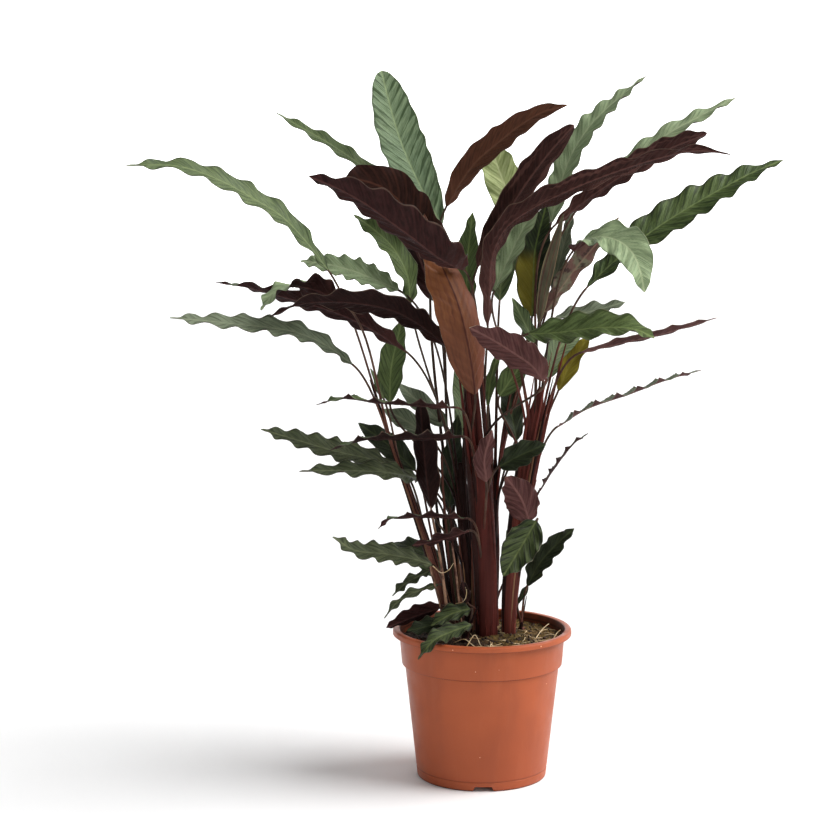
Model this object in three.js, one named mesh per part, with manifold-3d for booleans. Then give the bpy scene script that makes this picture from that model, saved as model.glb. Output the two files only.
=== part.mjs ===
// Potted calathea: a clump of long, wavy-edged leaves on thin stems, in soil, in a round plastic nursery pot.
// Millimetres, +Z up, -Y to the front. The origin is on the floor, in the middle of the pot's round foot.
import * as THREE from 'three';
import { mergeVertices } from 'three/addons/utils/BufferGeometryUtils.js';
import Module from 'manifold-3d';

const wasm = await Module();
wasm.setup();

// ---- driving dimensions ----
const GAP = 0.3; // clearance between touching pieces

const POT = {
  sides: 32,
  height: 176.3, // crest of the rolled lip
  lipRadius: 105, // the pot's nominal size is 210 across
  lipHeight: 6.8,
  collarRadiusTop: 98,
  collarRadiusBottom: 94,
  bodyRadiusTop: 90.5,
  footRadius: 75.8,
  ledgeHeight: 134, // where the collar steps in to the body
  wall: 2,
  footHeight: 6, // the base plate stands this high on its ring
  footRingWidth: 6,
  centreFootRadius: 12,
};
const NOTCHES = { count: 3, widthTop: 19, widthBottom: 25 }; // air notches in the foot ring
const DRAINS = { count: 6, radius: 5, circle: 45 }; // drain holes through the base plate

const SOIL = { top: 164, mound: 4, bump: 1.6, rings: 3 };
const HOLE = { depth: 22, clearance: 0.4 }; // the plain hole that each shoot stands in

const BLADE = {
  thickness: 1.2,
  baseHalfWidth: 1.9,
  tipHalfWidth: 0.5,
  rise: 0.6, // how soon the outline widens from the base
  fall: 0.8, // and how slowly it narrows to the tip
  bluntFall: 0.5,
  fold: 12, // degrees that each half stands up from the rib
  wave: 3,
};
// Each stalk leaves its shoot's sheath by `climb` below its blade, on the side that it leans to.
const PETIOLE = { sides: 4, steps: 3, rootRadius: 4.5, endRadius: 1.6, climb: 70, fullLean: 0.5 };
const SHEATH = { sides: 8, steps: 3, tipLength: 30, tipShare: 0.35, upright: 0.35 };

// The shoots: where each one leaves the soil, where its sheath ends, and its half-sizes across and deep
// at the soil and at its end. A small `upright` lets a shoot lean from its foot on.
const SHOOTS = {
  front: { foot: [5, -8], end: [-14, -15, 450], footSize: [12.5, 7.5], endSize: [15, 6] },
  right: { foot: [31, 2], end: [62, 3, 430], footSize: [8, 7], endSize: [17, 6.5] },
  left: { foot: [-37, -2], end: [-121, 0, 440], footSize: [9, 5], endSize: [3.2, 3], upright: 0.1 },
  dark: { foot: [-12, 17], end: [-23, 12, 340], footSize: [10, 6], endSize: [12, 5.5] },
  back: { foot: [12, 44], end: [16, 52, 340], footSize: [9, 7], endSize: [9, 6] },
  back_left: { foot: [-27, 50], end: [-36, 55, 300], footSize: [8, 6], endSize: [7, 5] },
  small_right: { foot: [47, 18], end: [48, 18, 180], footSize: [3, 3], endSize: [2.6, 2.6] },
  low_front: { foot: [-20, -40], end: [-17, -41, 183], footSize: [5, 4], endSize: [4, 3] },
};

// The leaves: name, shoot, width, waves along each edge, turns, and the points that the blade follows from
// base to tip. A turn is in degrees: 0 looks to the front with the upper face, 90 looks up and 180 to the
// back, and a blade that twists lists several, from base to tip. A name that starts with leaf_ is a blade of
// its own; the small ones without it are one body with their shoot.
const LEAVES = [
  // the front shoot
  ['leaf_edge_upper', 'front', 34, 6, [112, 100, 92],
    [[-32, -40, 441], [-76, -56, 447], [-121, -74, 452], [-160, -88, 458], [-188, -98, 451]]],
  ['leaf_edge_lower', 'front', 36, 6, [116, 108, 96],
    [[-25, -35, 407], [-73, -52, 409], [-135, -74, 410], [-157, -84, 405], [-174, -92, 399]]],
  ['leaf_dark_arch', 'front', 60, 7, [135],
    [[-24, -34, 598], [-54, -92, 620], [-80, -110, 641], [-102, -122, 657], [-129, -132, 676],
      [-159, -141, 692], [-192, -150, 704]], { fold: 22, wave: 3.4, rootSide: [0.9, 0.6] }],
  ['leaf_amber', 'front', 56, 5, [200, 212, 230],
    [[-10, -30, 455], [-15, -37, 486], [-23, -44, 524], [-34, -46, 564], [-52, -38, 606],
      [-68, -28, 660]], { fold: 18, wave: 1.5, rootSide: [-0.6, -0.2] }],
  ['leaf_plum_upright', 'front', 38, 5, [150],
    [[-6, 8, 599], [7, -2, 629], [27, -12, 664], [49, -18, 698], [72, -24, 729],
      [100, -30, 760]], { blunt: true, wave: 1.8, rootSide: [0.4, 0.9] }],
  ['leaf_plum_long', 'front', 38, 9, [130, 130, 120],
    [[5, -8, 532], [5, -16, 573], [7, -26, 610], [22, -42, 645], [54, -60, 670], [98, -82, 692],
      [139, -104, 709], [181, -126, 723], [223, -146, 732],
      [258, -160, 727]], { wave: 2.4, rootSide: [0.8, 0.9] }],
  ['leaf_mauve_fan', 'front', 42, 5, [155],
    [[67, -45, 472], [55, -56, 490], [30, -70, 509], [5, -86, 525], [-18, -100, 537]]],
  ['small_dark_green', 'front', 32, 3, [35], [[19, -25, 371], [42, -38, 386], [70, -52, 400]]],
  ['small_mauve', 'front', 24, 3, [160], [[3, -36, 355], [0, -42, 381], [9, -48, 416]]],
  ['leaf_edge_low_a', 'front', 28, 4, [112, 106],
    [[-19, -30, 311], [-50, -44, 317], [-90, -62, 319], [-108, -72, 318], [-120, -80, 308]]],
  ['edge_low_b', 'front', 24, 3, [125], [[-17, -28, 296], [-56, -44, 288], [-82, -60, 285]]],
  ['pot_purple', 'front', 13, 2, [170], [[-18, -26, 212], [-24, -30, 237]]],
  // the right shoot
  ['leaf_grey_upright', 'right', 30, 4, [45], [[13, 10, 571], [29, 14, 608], [48, 18, 646], [75, 22, 684]]],
  ['mid_bright_b', 'right', 28, 2, [10], [[20, 14, 448], [34, 17, 468], [52, 20, 493]]],
  ['leaf_green_across', 'right', 54, 5, [60],
    [[51, -30, 524], [86, -46, 529], [129, -66, 536], [166, -84, 535], [187, -94, 525]]],
  ['leaf_right_purple_edge', 'right', 26, 5, [115],
    [[113, -10, 501], [154, -8, 512], [198, -2, 521], [235, 6, 530], [271, 14, 539]], { wave: 1.3 }],
  ['leaf_right_thin_edge', 'right', 30, 7, [97],
    [[87, 0, 414], [117, -16, 437], [168, -34, 458], [206, -52, 475], [243, -70, 487]]],
  ['leaf_right_low_edge', 'right', 22, 6, [104],
    [[66, -12, 341], [78, -28, 366], [102, -50, 402], [117, -62, 414]], { wave: 2 }],
  ['leaf_right_long', 'right', 50, 8, [60, 45, 55],
    [[122, 20, 575], [143, 26, 596], [172, 34, 621], [203, 44, 643], [246, 56, 669], [289, 66, 692],
      [316, 74, 705], [356, 84, 720]], { wave: 3.6 }],
  ['leaf_pale_droop', 'right', 52, 5, [130, 60, 20, 10],
    [[102, -16, 618], [112, -30, 631], [130, -46, 637], [150, -66, 632], [164, -82, 618],
      [171, -92, 599], [175, -98, 576]]],
  ['leaf_mottled', 'right', 27, 4, [150], [[72, 10, 546], [95, 11, 583], [121, 11, 615], [156, 10, 655]]],
  ['leaf_right_dark', 'right', 38, 7, [130, 135],
    [[85, 26, 647], [112, 24, 671], [142, 21, 693], [174, 17, 714], [211, 12, 734],
      [255, 6, 751]], { blunt: true, wave: 2.4 }],
  ['leaf_mauve_low', 'right', 40, 4, [185], [[53, -22, 305], [44, -32, 333], [25, -46, 362]]],
  ['leaf_green_low_front', 'right', 42, 4, [20], [[61, -26, 307], [44, -44, 282], [22, -64, 250]]],
  ['olive_young', 'right', 24, 2, [35], [[88, 4, 456], [101, 5, 485], [123, 6, 518]]],
  ['grey_bit', 'right', 20, 2, [25], [[60, 8, 511], [48, 10, 534], [34, 12, 562]]],
  ['rolled', 'right', 16, 2, [160], [[64, -3, 535], [73, 0, 589], [92, 6, 659]], { wave: 0.5 }],
  // the left shoot
  ['leaf_left_high', 'left', 36, 7, [60],
    [[-179, 6, 595], [-201, -2, 626], [-229, -12, 657], [-262, -26, 679], [-295, -42, 698],
      [-339, -64, 714], [-395, -95, 715]], { wave: 2.8 }],
  ['leaf_left_long', 'left', 36, 7, [65],
    [[-151, -15, 488], [-178, -24, 510], [-209, -36, 526], [-242, -50, 534], [-277, -66, 539],
      [-314, -84, 544], [-349, -100, 548]]],
  ['leaf_left_curl', 'left', 44, 5, [155, 145, 100, 70, 50],
    [[-165, -46, 564], [-186, -48, 575], [-211, -54, 582], [-233, -62, 576], [-251, -70, 554]]],
  ['leaf_left_low_upper', 'left', 38, 7, [60],
    [[-98, 4, 364], [-128, -8, 377], [-170, -28, 390], [-215, -42, 405], [-253, -56, 418]]],
  ['leaf_left_base', 'left', 32, 6, [60],
    [[-59, -22, 255], [-82, -34, 265], [-113, -50, 274], [-147, -70, 282], [-171, -88, 300]]],
  ['left_base_small', 'left', 16, 3, [60], [[-62, 0, 243], [-89, -10, 231], [-105, -18, 217]]],
  ['left_base_tiny', 'left', 14, 3, [65],
    [[-52, -20, 231], [-84, -30, 222], [-101, -38, 212], [-114, -46, 197]]],
  ['leaf_rim_left', 'left', 33, 4, [135],
    [[-47, -12, 204], [-72, -16, 197], [-94, -20, 189], [-112, -24, 181]], { wave: 1.4 }],
  ['left_young', 'left', 9, 1, [30], [[-115, 4, 446], [-130, 4, 481]]],
  // the dark shoot
  ['leaf_left_low_lower', 'dark', 34, 5, [70],
    [[-75, 10, 352], [-114, -50, 369], [-163, -80, 375], [-207, -104, 377]]],
  ['leaf_under_upper', 'dark', 36, 7, [130, 130, 100],
    [[-91, -5, 503], [-124, -11, 527], [-163, -18, 547], [-198, -22, 559], [-233, -18, 568],
      [-267, -10, 576], [-308, 0, 581]]],
  ['leaf_under_big', 'dark', 40, 7, [140, 140, 110],
    [[-36, 14, 501], [-61, 0, 525], [-96, -26, 549], [-129, -52, 560], [-168, -70, 565],
      [-206, -86, 563], [-239, -98, 549]]],
  ['leaf_wavy_left', 'dark', 38, 7, [50],
    [[-98, 30, 570], [-119, 36, 580], [-152, 44, 593], [-184, 54, 600], [-214, 64, 602]]],
  ['leaf_mid_left', 'dark', 32, 4, [40],
    [[-84, 26, 556], [-87, 34, 587], [-103, 44, 618], [-126, 58, 639], [-151, 74, 656]]],
  ['leaf_stand_left', 'dark', 32, 3, [15], [[-108, 20, 440], [-107, 28, 477], [-94, 40, 534]]],
  ['leaf_dark_upright', 'dark', 34, 3, [145],
    [[-60, -12, 320], [-65, -19, 366], [-69, -20, 410], [-73, -20, 449]], { wave: 2 }],
  ['dark_back', 'dark', 28, 3, [30], [[-39, 22, 309], [-35, 27, 359], [-28, 34, 423]]],
  ['small_left_a', 'dark', 26, 2, [30], [[-67, 14, 404], [-90, 26, 418], [-115, 40, 429]]],
  ['leaf_arch_back', 'dark', 54, 4, [158],
    [[-42, 2, 611], [-68, -8, 641], [-90, -20, 669], [-108, -32, 687], [-130, -42, 697],
      [-156, -50, 701]], { blunt: true, wave: 3.6, rootSide: [0.2, -0.3] }],
  // the back shoot
  ['leaf_top_broad', 'back', 56, 6, [20],
    [[-48, 40, 646], [-65, 46, 677], [-83, 54, 714], [-97, 62, 749], [-109, 70, 790],
      [-118, 76, 824]], { blunt: true, wave: 1.2 }],
  ['leaf_top_right', 'back', 36, 8, [30, 50, 70],
    [[81, 54, 648], [91, 62, 691], [105, 72, 728], [128, 84, 762], [153, 96, 786],
      [196, 116, 819]], { wave: 2.6 }],
  ['right_green', 'back', 28, 5, [55],
    [[140, 50, 695], [179, 62, 725], [223, 76, 754], [260, 90, 773], [301, 104, 793]]],
  ['leaf_olive_centre', 'back', 42, 4, [15], [[58, 34, 539], [59, 36, 576], [61, 38, 616], [74, 40, 668]]],
  ['mid_dark_green', 'back', 28, 3, [20], [[41, 36, 393], [35, 44, 428], [28, 54, 472]]],
  ['leaf_green_upright', 'back', 28, 4, [25], [[-17, 22, 550], [-19, 22, 594], [-12, 24, 660]]],
  ['mid_bright_a', 'back', 14, 2, [30], [[7, 32, 435], [10, 34, 464], [20, 36, 497]]],
  ['leaf_pale_back', 'back', 46, 4, [10],
    [[57, 64, 629], [38, 74, 667], [19, 86, 714], [10, 94, 741]], { blunt: true }],
  ['grey_narrow', 'back', 22, 3, [35], [[83, 48, 569], [94, 58, 615], [107, 70, 659]]],
  ['yellow_bit', 'back', 26, 3, [55], [[86, 34, 537], [127, 50, 544], [170, 70, 553]]],
  ['leaf_back_fan_c', 'back', 36, 2, [10], [[-19, 76, 460], [-22, 140, 514], [-29, 200, 546]]],
  ['leaf_back_fan_d', 'back', 38, 2, [10], [[22, 80, 555], [30, 130, 630], [45, 190, 652]]],
  ['leaf_back_fan_e', 'back', 30, 2, [10], [[80, 70, 463], [97, 120, 494], [131, 170, 519]]],
  ['leaf_back_low_b', 'back', 34, 2, [15], [[-1, 74, 291], [3, 120, 344], [7, 170, 362]]],
  ['back_low_c', 'back', 32, 2, [15], [[41, 66, 243], [49, 110, 272], [54, 150, 283]]],
  // the back left shoot
  ['back_left_low', 'back_left', 30, 3, [25], [[-79, 44, 356], [-109, 66, 382], [-147, 92, 406]]],
  ['small_left_b', 'back_left', 26, 2, [30], [[-42, 46, 408], [-73, 66, 434], [-99, 90, 454]]],
  ['back_left_base', 'back_left', 30, 3, [55], [[-51, 42, 248], [-79, 62, 259], [-104, 84, 261]]],
  ['leaf_top_left_narrow', 'back_left', 28, 5, [60],
    [[-94, 62, 679], [-149, 78, 720], [-181, 92, 741], [-216, 110, 760], [-245, 128, 776]], { wave: 2 }],
  ['leaf_back_fan_a', 'back_left', 30, 2, [10], [[-20, 72, 388], [-19, 120, 436], [-23, 180, 483]]],
  ['leaf_back_fan_b', 'back_left', 32, 2, [172], [[-56, 74, 555], [-78, 110, 613], [-102, 150, 647]]],
  ['leaf_back_low_a', 'back_left', 32, 2, [15], [[-49, 60, 226], [-67, 100, 241], [-91, 140, 241]]],
  ['leaf_brown_arch', 'back_left', 36, 6, [145],
    [[-42, 14, 668], [-29, 10, 693], [-11, 4, 718], [15, -3, 741], [41, -10, 761], [66, -17, 775],
      [93, -24, 782]], { wave: 1.6 }],
  // the small right shoot
  ['leaf_right_base', 'small_right', 28, 4, [40],
    [[54, 15, 223], [68, 8, 252], [89, -2, 278], [106, -14, 296]]],
  ['right_base_small', 'small_right', 9, 1, [35], [[43, 14, 202], [55, 20, 222]]],
  // the low front shoot
  ['leaf_pot_green', 'low_front', 25, 3, [50], [[-15, -32, 205], [-35, -40, 202], [-60, -50, 189]]],
  ['leaf_over_rim', 'low_front', 24, 4, [55],
    [[-14, -52, 191], [-39, -72, 187], [-58, -94, 182], [-75, -108, 164]]],
  ['pot_dark', 'low_front', 24, 3, [50], [[-44, -30, 191], [-68, -33, 184], [-88, -36, 180]]],
];

// ---- small helpers ----
const FRONT = new THREE.Vector3(0, -1, 0);
const vector = (p) => new THREE.Vector3(p[0], p[1], p[2]);
const smooth = (t) => t * t * (3 - 2 * t);
const mix = (a, b, t) => a + (b - a) * t;

// Builds a closed body from rings of equal length, joined by side faces and closed by a flat end at each end.
// Each ring runs anticlockwise seen from ahead of it, and the rings follow the way they face.
function loft(rings) {
  const positions = rings.flat().flatMap((p) => [p.x, p.y, p.z]);
  const index = [];
  const count = rings[0].length;
  for (let r = 0; r + 1 < rings.length; r += 1) {
    for (let k = 0; k < count; k += 1) {
      const a = r * count + k;
      const b = r * count + ((k + 1) % count);
      index.push(a, b, b + count, a, b + count, a + count);
    }
  }
  const last = (rings.length - 1) * count;
  for (let k = 1; k + 1 < count; k += 1) {
    index.push(0, k + 1, k);
    index.push(last, last + k, last + k + 1);
  }
  return meshed(positions, index);
}

function meshed(positions, index) {
  const geometry = new THREE.BufferGeometry();
  geometry.setAttribute('position', new THREE.Float32BufferAttribute(positions, 3));
  geometry.setIndex(index);
  return geometry;
}

function solid(geometry) {
  const bare = geometry.clone();
  bare.deleteAttribute('normal');
  bare.deleteAttribute('uv');
  const merged = mergeVertices(bare, 1e-4);
  return new wasm.Manifold(new wasm.Mesh({
    numProp: 3,
    vertProperties: merged.attributes.position.array,
    triVerts: new Uint32Array(merged.index.array),
  }));
}

function geometryOf(manifold) {
  const made = manifold.getMesh();
  return meshed([...made.vertProperties], [...made.triVerts]);
}

// ---- pot ----
// Outer and inner radius of the pot's wall at a height.
function wallRadius(height) {
  if (height < POT.ledgeHeight) {
    return mix(POT.footRadius, POT.bodyRadiusTop, height / POT.ledgeHeight);
  }
  const collarHeight = POT.height - POT.lipHeight - POT.ledgeHeight;
  return mix(POT.collarRadiusBottom, POT.collarRadiusTop, (height - POT.ledgeHeight) / collarHeight);
}

const innerRadius = (height) => wallRadius(height) - POT.wall;
const floorHeight = POT.footHeight + POT.wall;
const innerLedge = { low: POT.ledgeHeight - 1, high: POT.ledgeHeight + 2.5 };

function potProfile() {
  const lipBase = POT.height - POT.lipHeight;
  const ringInner = POT.footRadius - POT.footRingWidth;
  const inner = innerRadius(lipBase);
  return [
    [0, 0],
    [POT.centreFootRadius, 0],
    [POT.centreFootRadius, POT.footHeight],
    [ringInner, POT.footHeight],
    [ringInner, 0],
    [POT.footRadius - 1.2, 0],
    [POT.footRadius, 1.2],
    [POT.bodyRadiusTop, POT.ledgeHeight - 0.6],
    [POT.collarRadiusBottom, POT.ledgeHeight + 0.6],
    [POT.collarRadiusTop, lipBase],
    [POT.lipRadius - 1.2, lipBase],
    [POT.lipRadius, lipBase + 1.5],
    [POT.lipRadius - 0.3, POT.height - 1.8],
    [POT.lipRadius - 2.4, POT.height],
    [inner + 2, POT.height],
    [inner, POT.height - 2.5],
    [inner, lipBase],
    [innerRadius(innerLedge.high), innerLedge.high],
    [innerRadius(innerLedge.low), innerLedge.low],
    [innerRadius(floorHeight), floorHeight],
    [0, floorHeight],
  ].map(([x, y]) => new THREE.Vector2(x, y));
}

// Turns a profile of (radius, height) points about Z.
function turned(profile, sides) {
  return new THREE.LatheGeometry(profile, sides).rotateX(Math.PI / 2);
}

function notchCutter(turn) {
  const half = [NOTCHES.widthBottom / 2, NOTCHES.widthTop / 2];
  const outline = new THREE.Shape([
    new THREE.Vector2(-half[0] - 1, -1),
    new THREE.Vector2(half[0] + 1, -1),
    new THREE.Vector2(half[1], POT.footHeight),
    new THREE.Vector2(-half[1], POT.footHeight),
  ]);
  const depth = POT.footRingWidth + 8;
  return new THREE.ExtrudeGeometry(outline, { depth, bevelEnabled: false })
    .rotateX(Math.PI / 2)
    .translate(0, -POT.footRadius + depth - 4, 0)
    .rotateZ(turn);
}

function drainCutter(turn) {
  return new THREE.CylinderGeometry(DRAINS.radius, DRAINS.radius, 3 * POT.wall, 12)
    .rotateX(Math.PI / 2)
    .translate(DRAINS.circle, 0, POT.footHeight + POT.wall / 2)
    .rotateZ(turn);
}

function potGeometry() {
  let pot = solid(turned(potProfile(), POT.sides));
  for (let k = 0; k < NOTCHES.count; k += 1) {
    pot = pot.subtract(solid(notchCutter((k * 2 * Math.PI) / NOTCHES.count)));
  }
  for (let k = 0; k < DRAINS.count; k += 1) {
    pot = pot.subtract(solid(drainCutter(((k + 0.5) * 2 * Math.PI) / DRAINS.count)));
  }
  return geometryOf(pot);
}

// ---- soil ----
function soilBump(x, y) {
  return Math.sin(0.13 * x + 1.1) * Math.sin(0.17 * y) + 0.6 * Math.sin(0.31 * x - 0.23 * y);
}

function soilGeometry() {
  const edge = innerRadius(SOIL.top) - GAP;
  const top = [];
  for (let k = 1; k <= SOIL.rings; k += 1) {
    const radius = edge * (1 - k / SOIL.rings);
    top.push([radius, SOIL.top + SOIL.mound * Math.sin((k / SOIL.rings) * (Math.PI / 2))]);
  }
  const profile = [
    [0, floorHeight + GAP],
    [innerRadius(floorHeight) - GAP, floorHeight + GAP],
    [innerRadius(innerLedge.low) - GAP, innerLedge.low],
    [innerRadius(innerLedge.high) - GAP, innerLedge.high],
    [edge, SOIL.top],
    ...top,
  ].map(([x, y]) => new THREE.Vector2(x, y));
  const geometry = turned(profile, POT.sides);
  const points = geometry.attributes.position;
  for (let k = 0; k < points.count; k += 1) {
    const x = points.getX(k);
    const y = points.getY(k);
    const z = points.getZ(k);
    if (z > SOIL.top + 0.1) points.setZ(k, z + SOIL.bump * soilBump(x, y));
  }
  let soil = solid(geometry);
  for (const shoot of Object.values(SHOOTS)) soil = soil.subtract(solid(shootHole(shoot)));
  return geometryOf(soil);
}

function ovalRing(centre, across, deep, sides) {
  const ring = [];
  for (let k = 0; k < sides; k += 1) {
    const turn = ((k + 0.5) * 2 * Math.PI) / sides;
    ring.push(new THREE.Vector3(
      centre.x + across * Math.cos(turn),
      centre.y + deep * Math.sin(turn),
      centre.z,
    ));
  }
  return ring;
}

const holeBottom = SOIL.top - HOLE.depth;
const clearOfSoil = SOIL.top + SOIL.mound + 2 * SOIL.bump;

function shootHole(shoot) {
  const [across, deep] = shoot.footSize.map((half) => half + HOLE.clearance);
  const [x, y] = shoot.foot;
  return loft([
    ovalRing(new THREE.Vector3(x, y, holeBottom - GAP), across, deep, SHEATH.sides),
    ovalRing(new THREE.Vector3(x, y, clearOfSoil), across, deep, SHEATH.sides),
  ]);
}

// ---- shoots ----
// The middle line of a shoot's sheath, from where it clears the soil to its end.
function sheathLine(shoot) {
  const start = new THREE.Vector3(shoot.foot[0], shoot.foot[1], clearOfSoil);
  const end = vector(shoot.end);
  const upright = shoot.upright ?? SHEATH.upright;
  const handle = new THREE.Vector3(start.x, start.y, mix(start.z, end.z, upright));
  return new THREE.QuadraticBezierCurve3(start, handle, end);
}

function sheathGeometry(shoot) {
  const line = sheathLine(shoot);
  const foot = new THREE.Vector3(shoot.foot[0], shoot.foot[1], holeBottom);
  const rings = [ovalRing(foot, ...shoot.footSize, SHEATH.sides)];
  for (let k = 0; k <= SHEATH.steps; k += 1) {
    const t = k / SHEATH.steps;
    const across = mix(shoot.footSize[0], shoot.endSize[0], t);
    const deep = mix(shoot.footSize[1], shoot.endSize[1], t);
    rings.push(ovalRing(line.getPoint(t), across, deep, SHEATH.sides));
  }
  const tip = line.getPoint(1).addScaledVector(line.getTangent(1), SHEATH.tipLength);
  rings.push(ovalRing(tip, ...shoot.endSize.map((half) => half * SHEATH.tipShare), SHEATH.sides));
  return loft(rings);
}

// A leaf's stalk: out of the sheath along its line, and in line with the midrib at the blade.
function petioleLine(leaf, shoot) {
  const sheath = sheathLine(shoot);
  const along = leaf.rib.getTangentAt(0);
  const sink = leaf.fused ? -2 : GAP;
  const end = leaf.rib.getPointAt(0).addScaledVector(along, -sink);
  const rise = (end.z - PETIOLE.climb - clearOfSoil) / (shoot.end[2] - clearOfSoil);
  const from = THREE.MathUtils.clamp(rise, 0.1, 0.85);
  const start = sheath.getPoint(from);
  const reach = start.distanceTo(end);
  const lean = end.clone().sub(start).divideScalar(reach * PETIOLE.fullLean).clampScalar(-1, 1);
  const [side, depth] = leaf.rootSide ?? [0.7 * lean.x, 0.7 * lean.y];
  start.x += side * shoot.endSize[0];
  start.y += depth * shoot.endSize[1];
  return new THREE.CubicBezierCurve3(
    start,
    start.clone().addScaledVector(sheath.getTangent(from), reach * 0.4),
    end.clone().addScaledVector(along, -reach * 0.22),
    end,
  );
}

function petioleGeometry(line) {
  const frames = line.computeFrenetFrames(PETIOLE.steps, false);
  const rings = [];
  for (let k = 0; k <= PETIOLE.steps; k += 1) {
    const t = k / PETIOLE.steps;
    const radius = mix(PETIOLE.rootRadius, PETIOLE.endRadius, Math.sqrt(t));
    const centre = line.getPointAt(t);
    const ring = [];
    for (let s = 0; s < PETIOLE.sides; s += 1) {
      const turn = (s * 2 * Math.PI) / PETIOLE.sides;
      ring.push(centre.clone()
        .addScaledVector(frames.normals[k], radius * Math.cos(turn))
        .addScaledVector(frames.binormals[k], radius * Math.sin(turn)));
    }
    rings.push(ring);
  }
  return loft(rings);
}

// ---- leaves ----
// Half the blade's width at a share t of its length: narrow at the base, widest below the middle, pointed.
function halfWidth(leaf, t) {
  const { rise } = BLADE;
  const fall = leaf.blunt ? BLADE.bluntFall : BLADE.fall;
  const widest = rise ** rise * fall ** fall / (rise + fall) ** (rise + fall);
  const shape = (t ** rise * (1 - t) ** fall) / widest;
  return Math.max(shape * leaf.width / 2, mix(BLADE.baseHalfWidth, BLADE.tipHalfWidth, t));
}

// The listed turns are spread evenly from base to tip.
function turnAt(turns, t) {
  if (turns.length === 1) return turns[0];
  const place = t * (turns.length - 1);
  const k = Math.min(Math.floor(place), turns.length - 2);
  return mix(turns[k], turns[k + 1], smooth(place - k));
}

// Place, upper side and left-to-right direction of the blade at a share t of its length.
function bladeFrame(leaf, t) {
  const along = leaf.rib.getTangentAt(t);
  const front = FRONT.clone().addScaledVector(along, -FRONT.dot(along)).normalize();
  const level = new THREE.Vector3().crossVectors(along, front).multiplyScalar(leaf.hand);
  const turn = THREE.MathUtils.degToRad(turnAt(leaf.turns, t));
  const upper = front.multiplyScalar(Math.cos(turn)).addScaledVector(level, Math.sin(turn));
  const across = new THREE.Vector3().crossVectors(along, upper);
  return { point: leaf.rib.getPointAt(t), upper, across };
}

// The blade's section at t: left edge, rib and right edge on the upper face, then on the lower one.
// The edges stand up from the rib by the fold and swing up and down in turn by the wave.
function bladeSection(leaf, t, swing) {
  const { point, upper, across } = bladeFrame(leaf, t);
  const half = halfWidth(leaf, t);
  const fold = THREE.MathUtils.degToRad(leaf.fold ?? BLADE.fold);
  const wave = Math.min(leaf.wave ?? BLADE.wave, half * 0.5) * swing;
  const section = [];
  for (const face of [0.5, -0.5]) {
    for (const side of [-1, 0, 1]) {
      const lift = (Math.abs(side) - 0.5) * half * Math.sin(fold) + side * wave + face * BLADE.thickness;
      section.push(point.clone()
        .addScaledVector(across, side * half * Math.cos(fold))
        .addScaledVector(upper, lift));
    }
  }
  return section;
}

// Stations lie on the crests and troughs of the waves, and both faces are split into the same triangles.
function bladeGeometry(leaf) {
  const sections = [bladeSection(leaf, 0, 0)];
  for (let k = 0; k < 2 * leaf.waves; k += 1) {
    sections.push(bladeSection(leaf, (k + 0.5) / (2 * leaf.waves), k % 2 ? -1 : 1));
  }
  sections.push(bladeSection(leaf, 1, 0));
  const positions = sections.flat().flatMap((p) => [p.x, p.y, p.z]);
  const index = [];
  const quad = (a, b, c, d) => index.push(a, b, c, a, c, d);
  const [left, rib, right, leftUnder, ribUnder, rightUnder] = [0, 1, 2, 3, 4, 5];
  for (let k = 0; k + 1 < sections.length; k += 1) {
    const near = k * 6;
    const far = near + 6;
    quad(near + left, near + rib, far + rib, far + left);
    quad(near + rib, near + right, far + right, far + rib);
    index.push(near + leftUnder, far + ribUnder, near + ribUnder);
    index.push(near + leftUnder, far + leftUnder, far + ribUnder);
    index.push(near + ribUnder, far + rightUnder, near + rightUnder);
    index.push(near + ribUnder, far + ribUnder, far + rightUnder);
    quad(near + right, near + rightUnder, far + rightUnder, far + right);
    quad(near + left, far + left, far + leftUnder, near + leftUnder);
  }
  const last = (sections.length - 1) * 6;
  quad(left, leftUnder, ribUnder, rib);
  quad(rib, ribUnder, rightUnder, right);
  quad(last + left, last + rib, last + ribUnder, last + leftUnder);
  quad(last + rib, last + right, last + rightUnder, last + ribUnder);
  return meshed(positions, index);
}

function describedLeaf([name, shoot, width, waves, turns, points, extra = {}]) {
  return {
    name,
    shoot,
    width,
    waves,
    fused: !name.startsWith('leaf_'),
    turns,
    hand: points[points.length - 1][0] < points[0][0] ? 1 : -1,
    rib: new THREE.CatmullRomCurve3(points.map(vector), false, 'centripetal'),
    ...extra,
  };
}

// A shoot in one body: its sheath, the stalks of all its leaves and its small leaves.
function shootGeometry(shoot, leaves) {
  let body = solid(sheathGeometry(shoot));
  for (const leaf of leaves) {
    body = body.add(solid(petioleGeometry(petioleLine(leaf, shoot))));
    if (leaf.fused) body = body.add(solid(bladeGeometry(leaf)));
  }
  return geometryOf(body);
}

// ---- the plant ----
const MATERIALS = {
  pot: new THREE.MeshStandardMaterial({ color: 0xb5623f, roughness: 0.55, metalness: 0 }),
  soil: new THREE.MeshStandardMaterial({ color: 0x5a4428, roughness: 0.95, metalness: 0 }),
  stem: new THREE.MeshStandardMaterial({ color: 0x5c2a28, roughness: 0.5, metalness: 0 }),
  leaf: new THREE.MeshStandardMaterial({ color: 0x4f6b47, roughness: 0.5, metalness: 0 }),
};

const plant = new THREE.Group();

function addNode(name, geometry, material) {
  const flat = geometry.index ? geometry.toNonIndexed() : geometry;
  flat.computeVertexNormals();
  const mesh = new THREE.Mesh(flat, material);
  mesh.name = name;
  plant.add(mesh);
}

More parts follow.
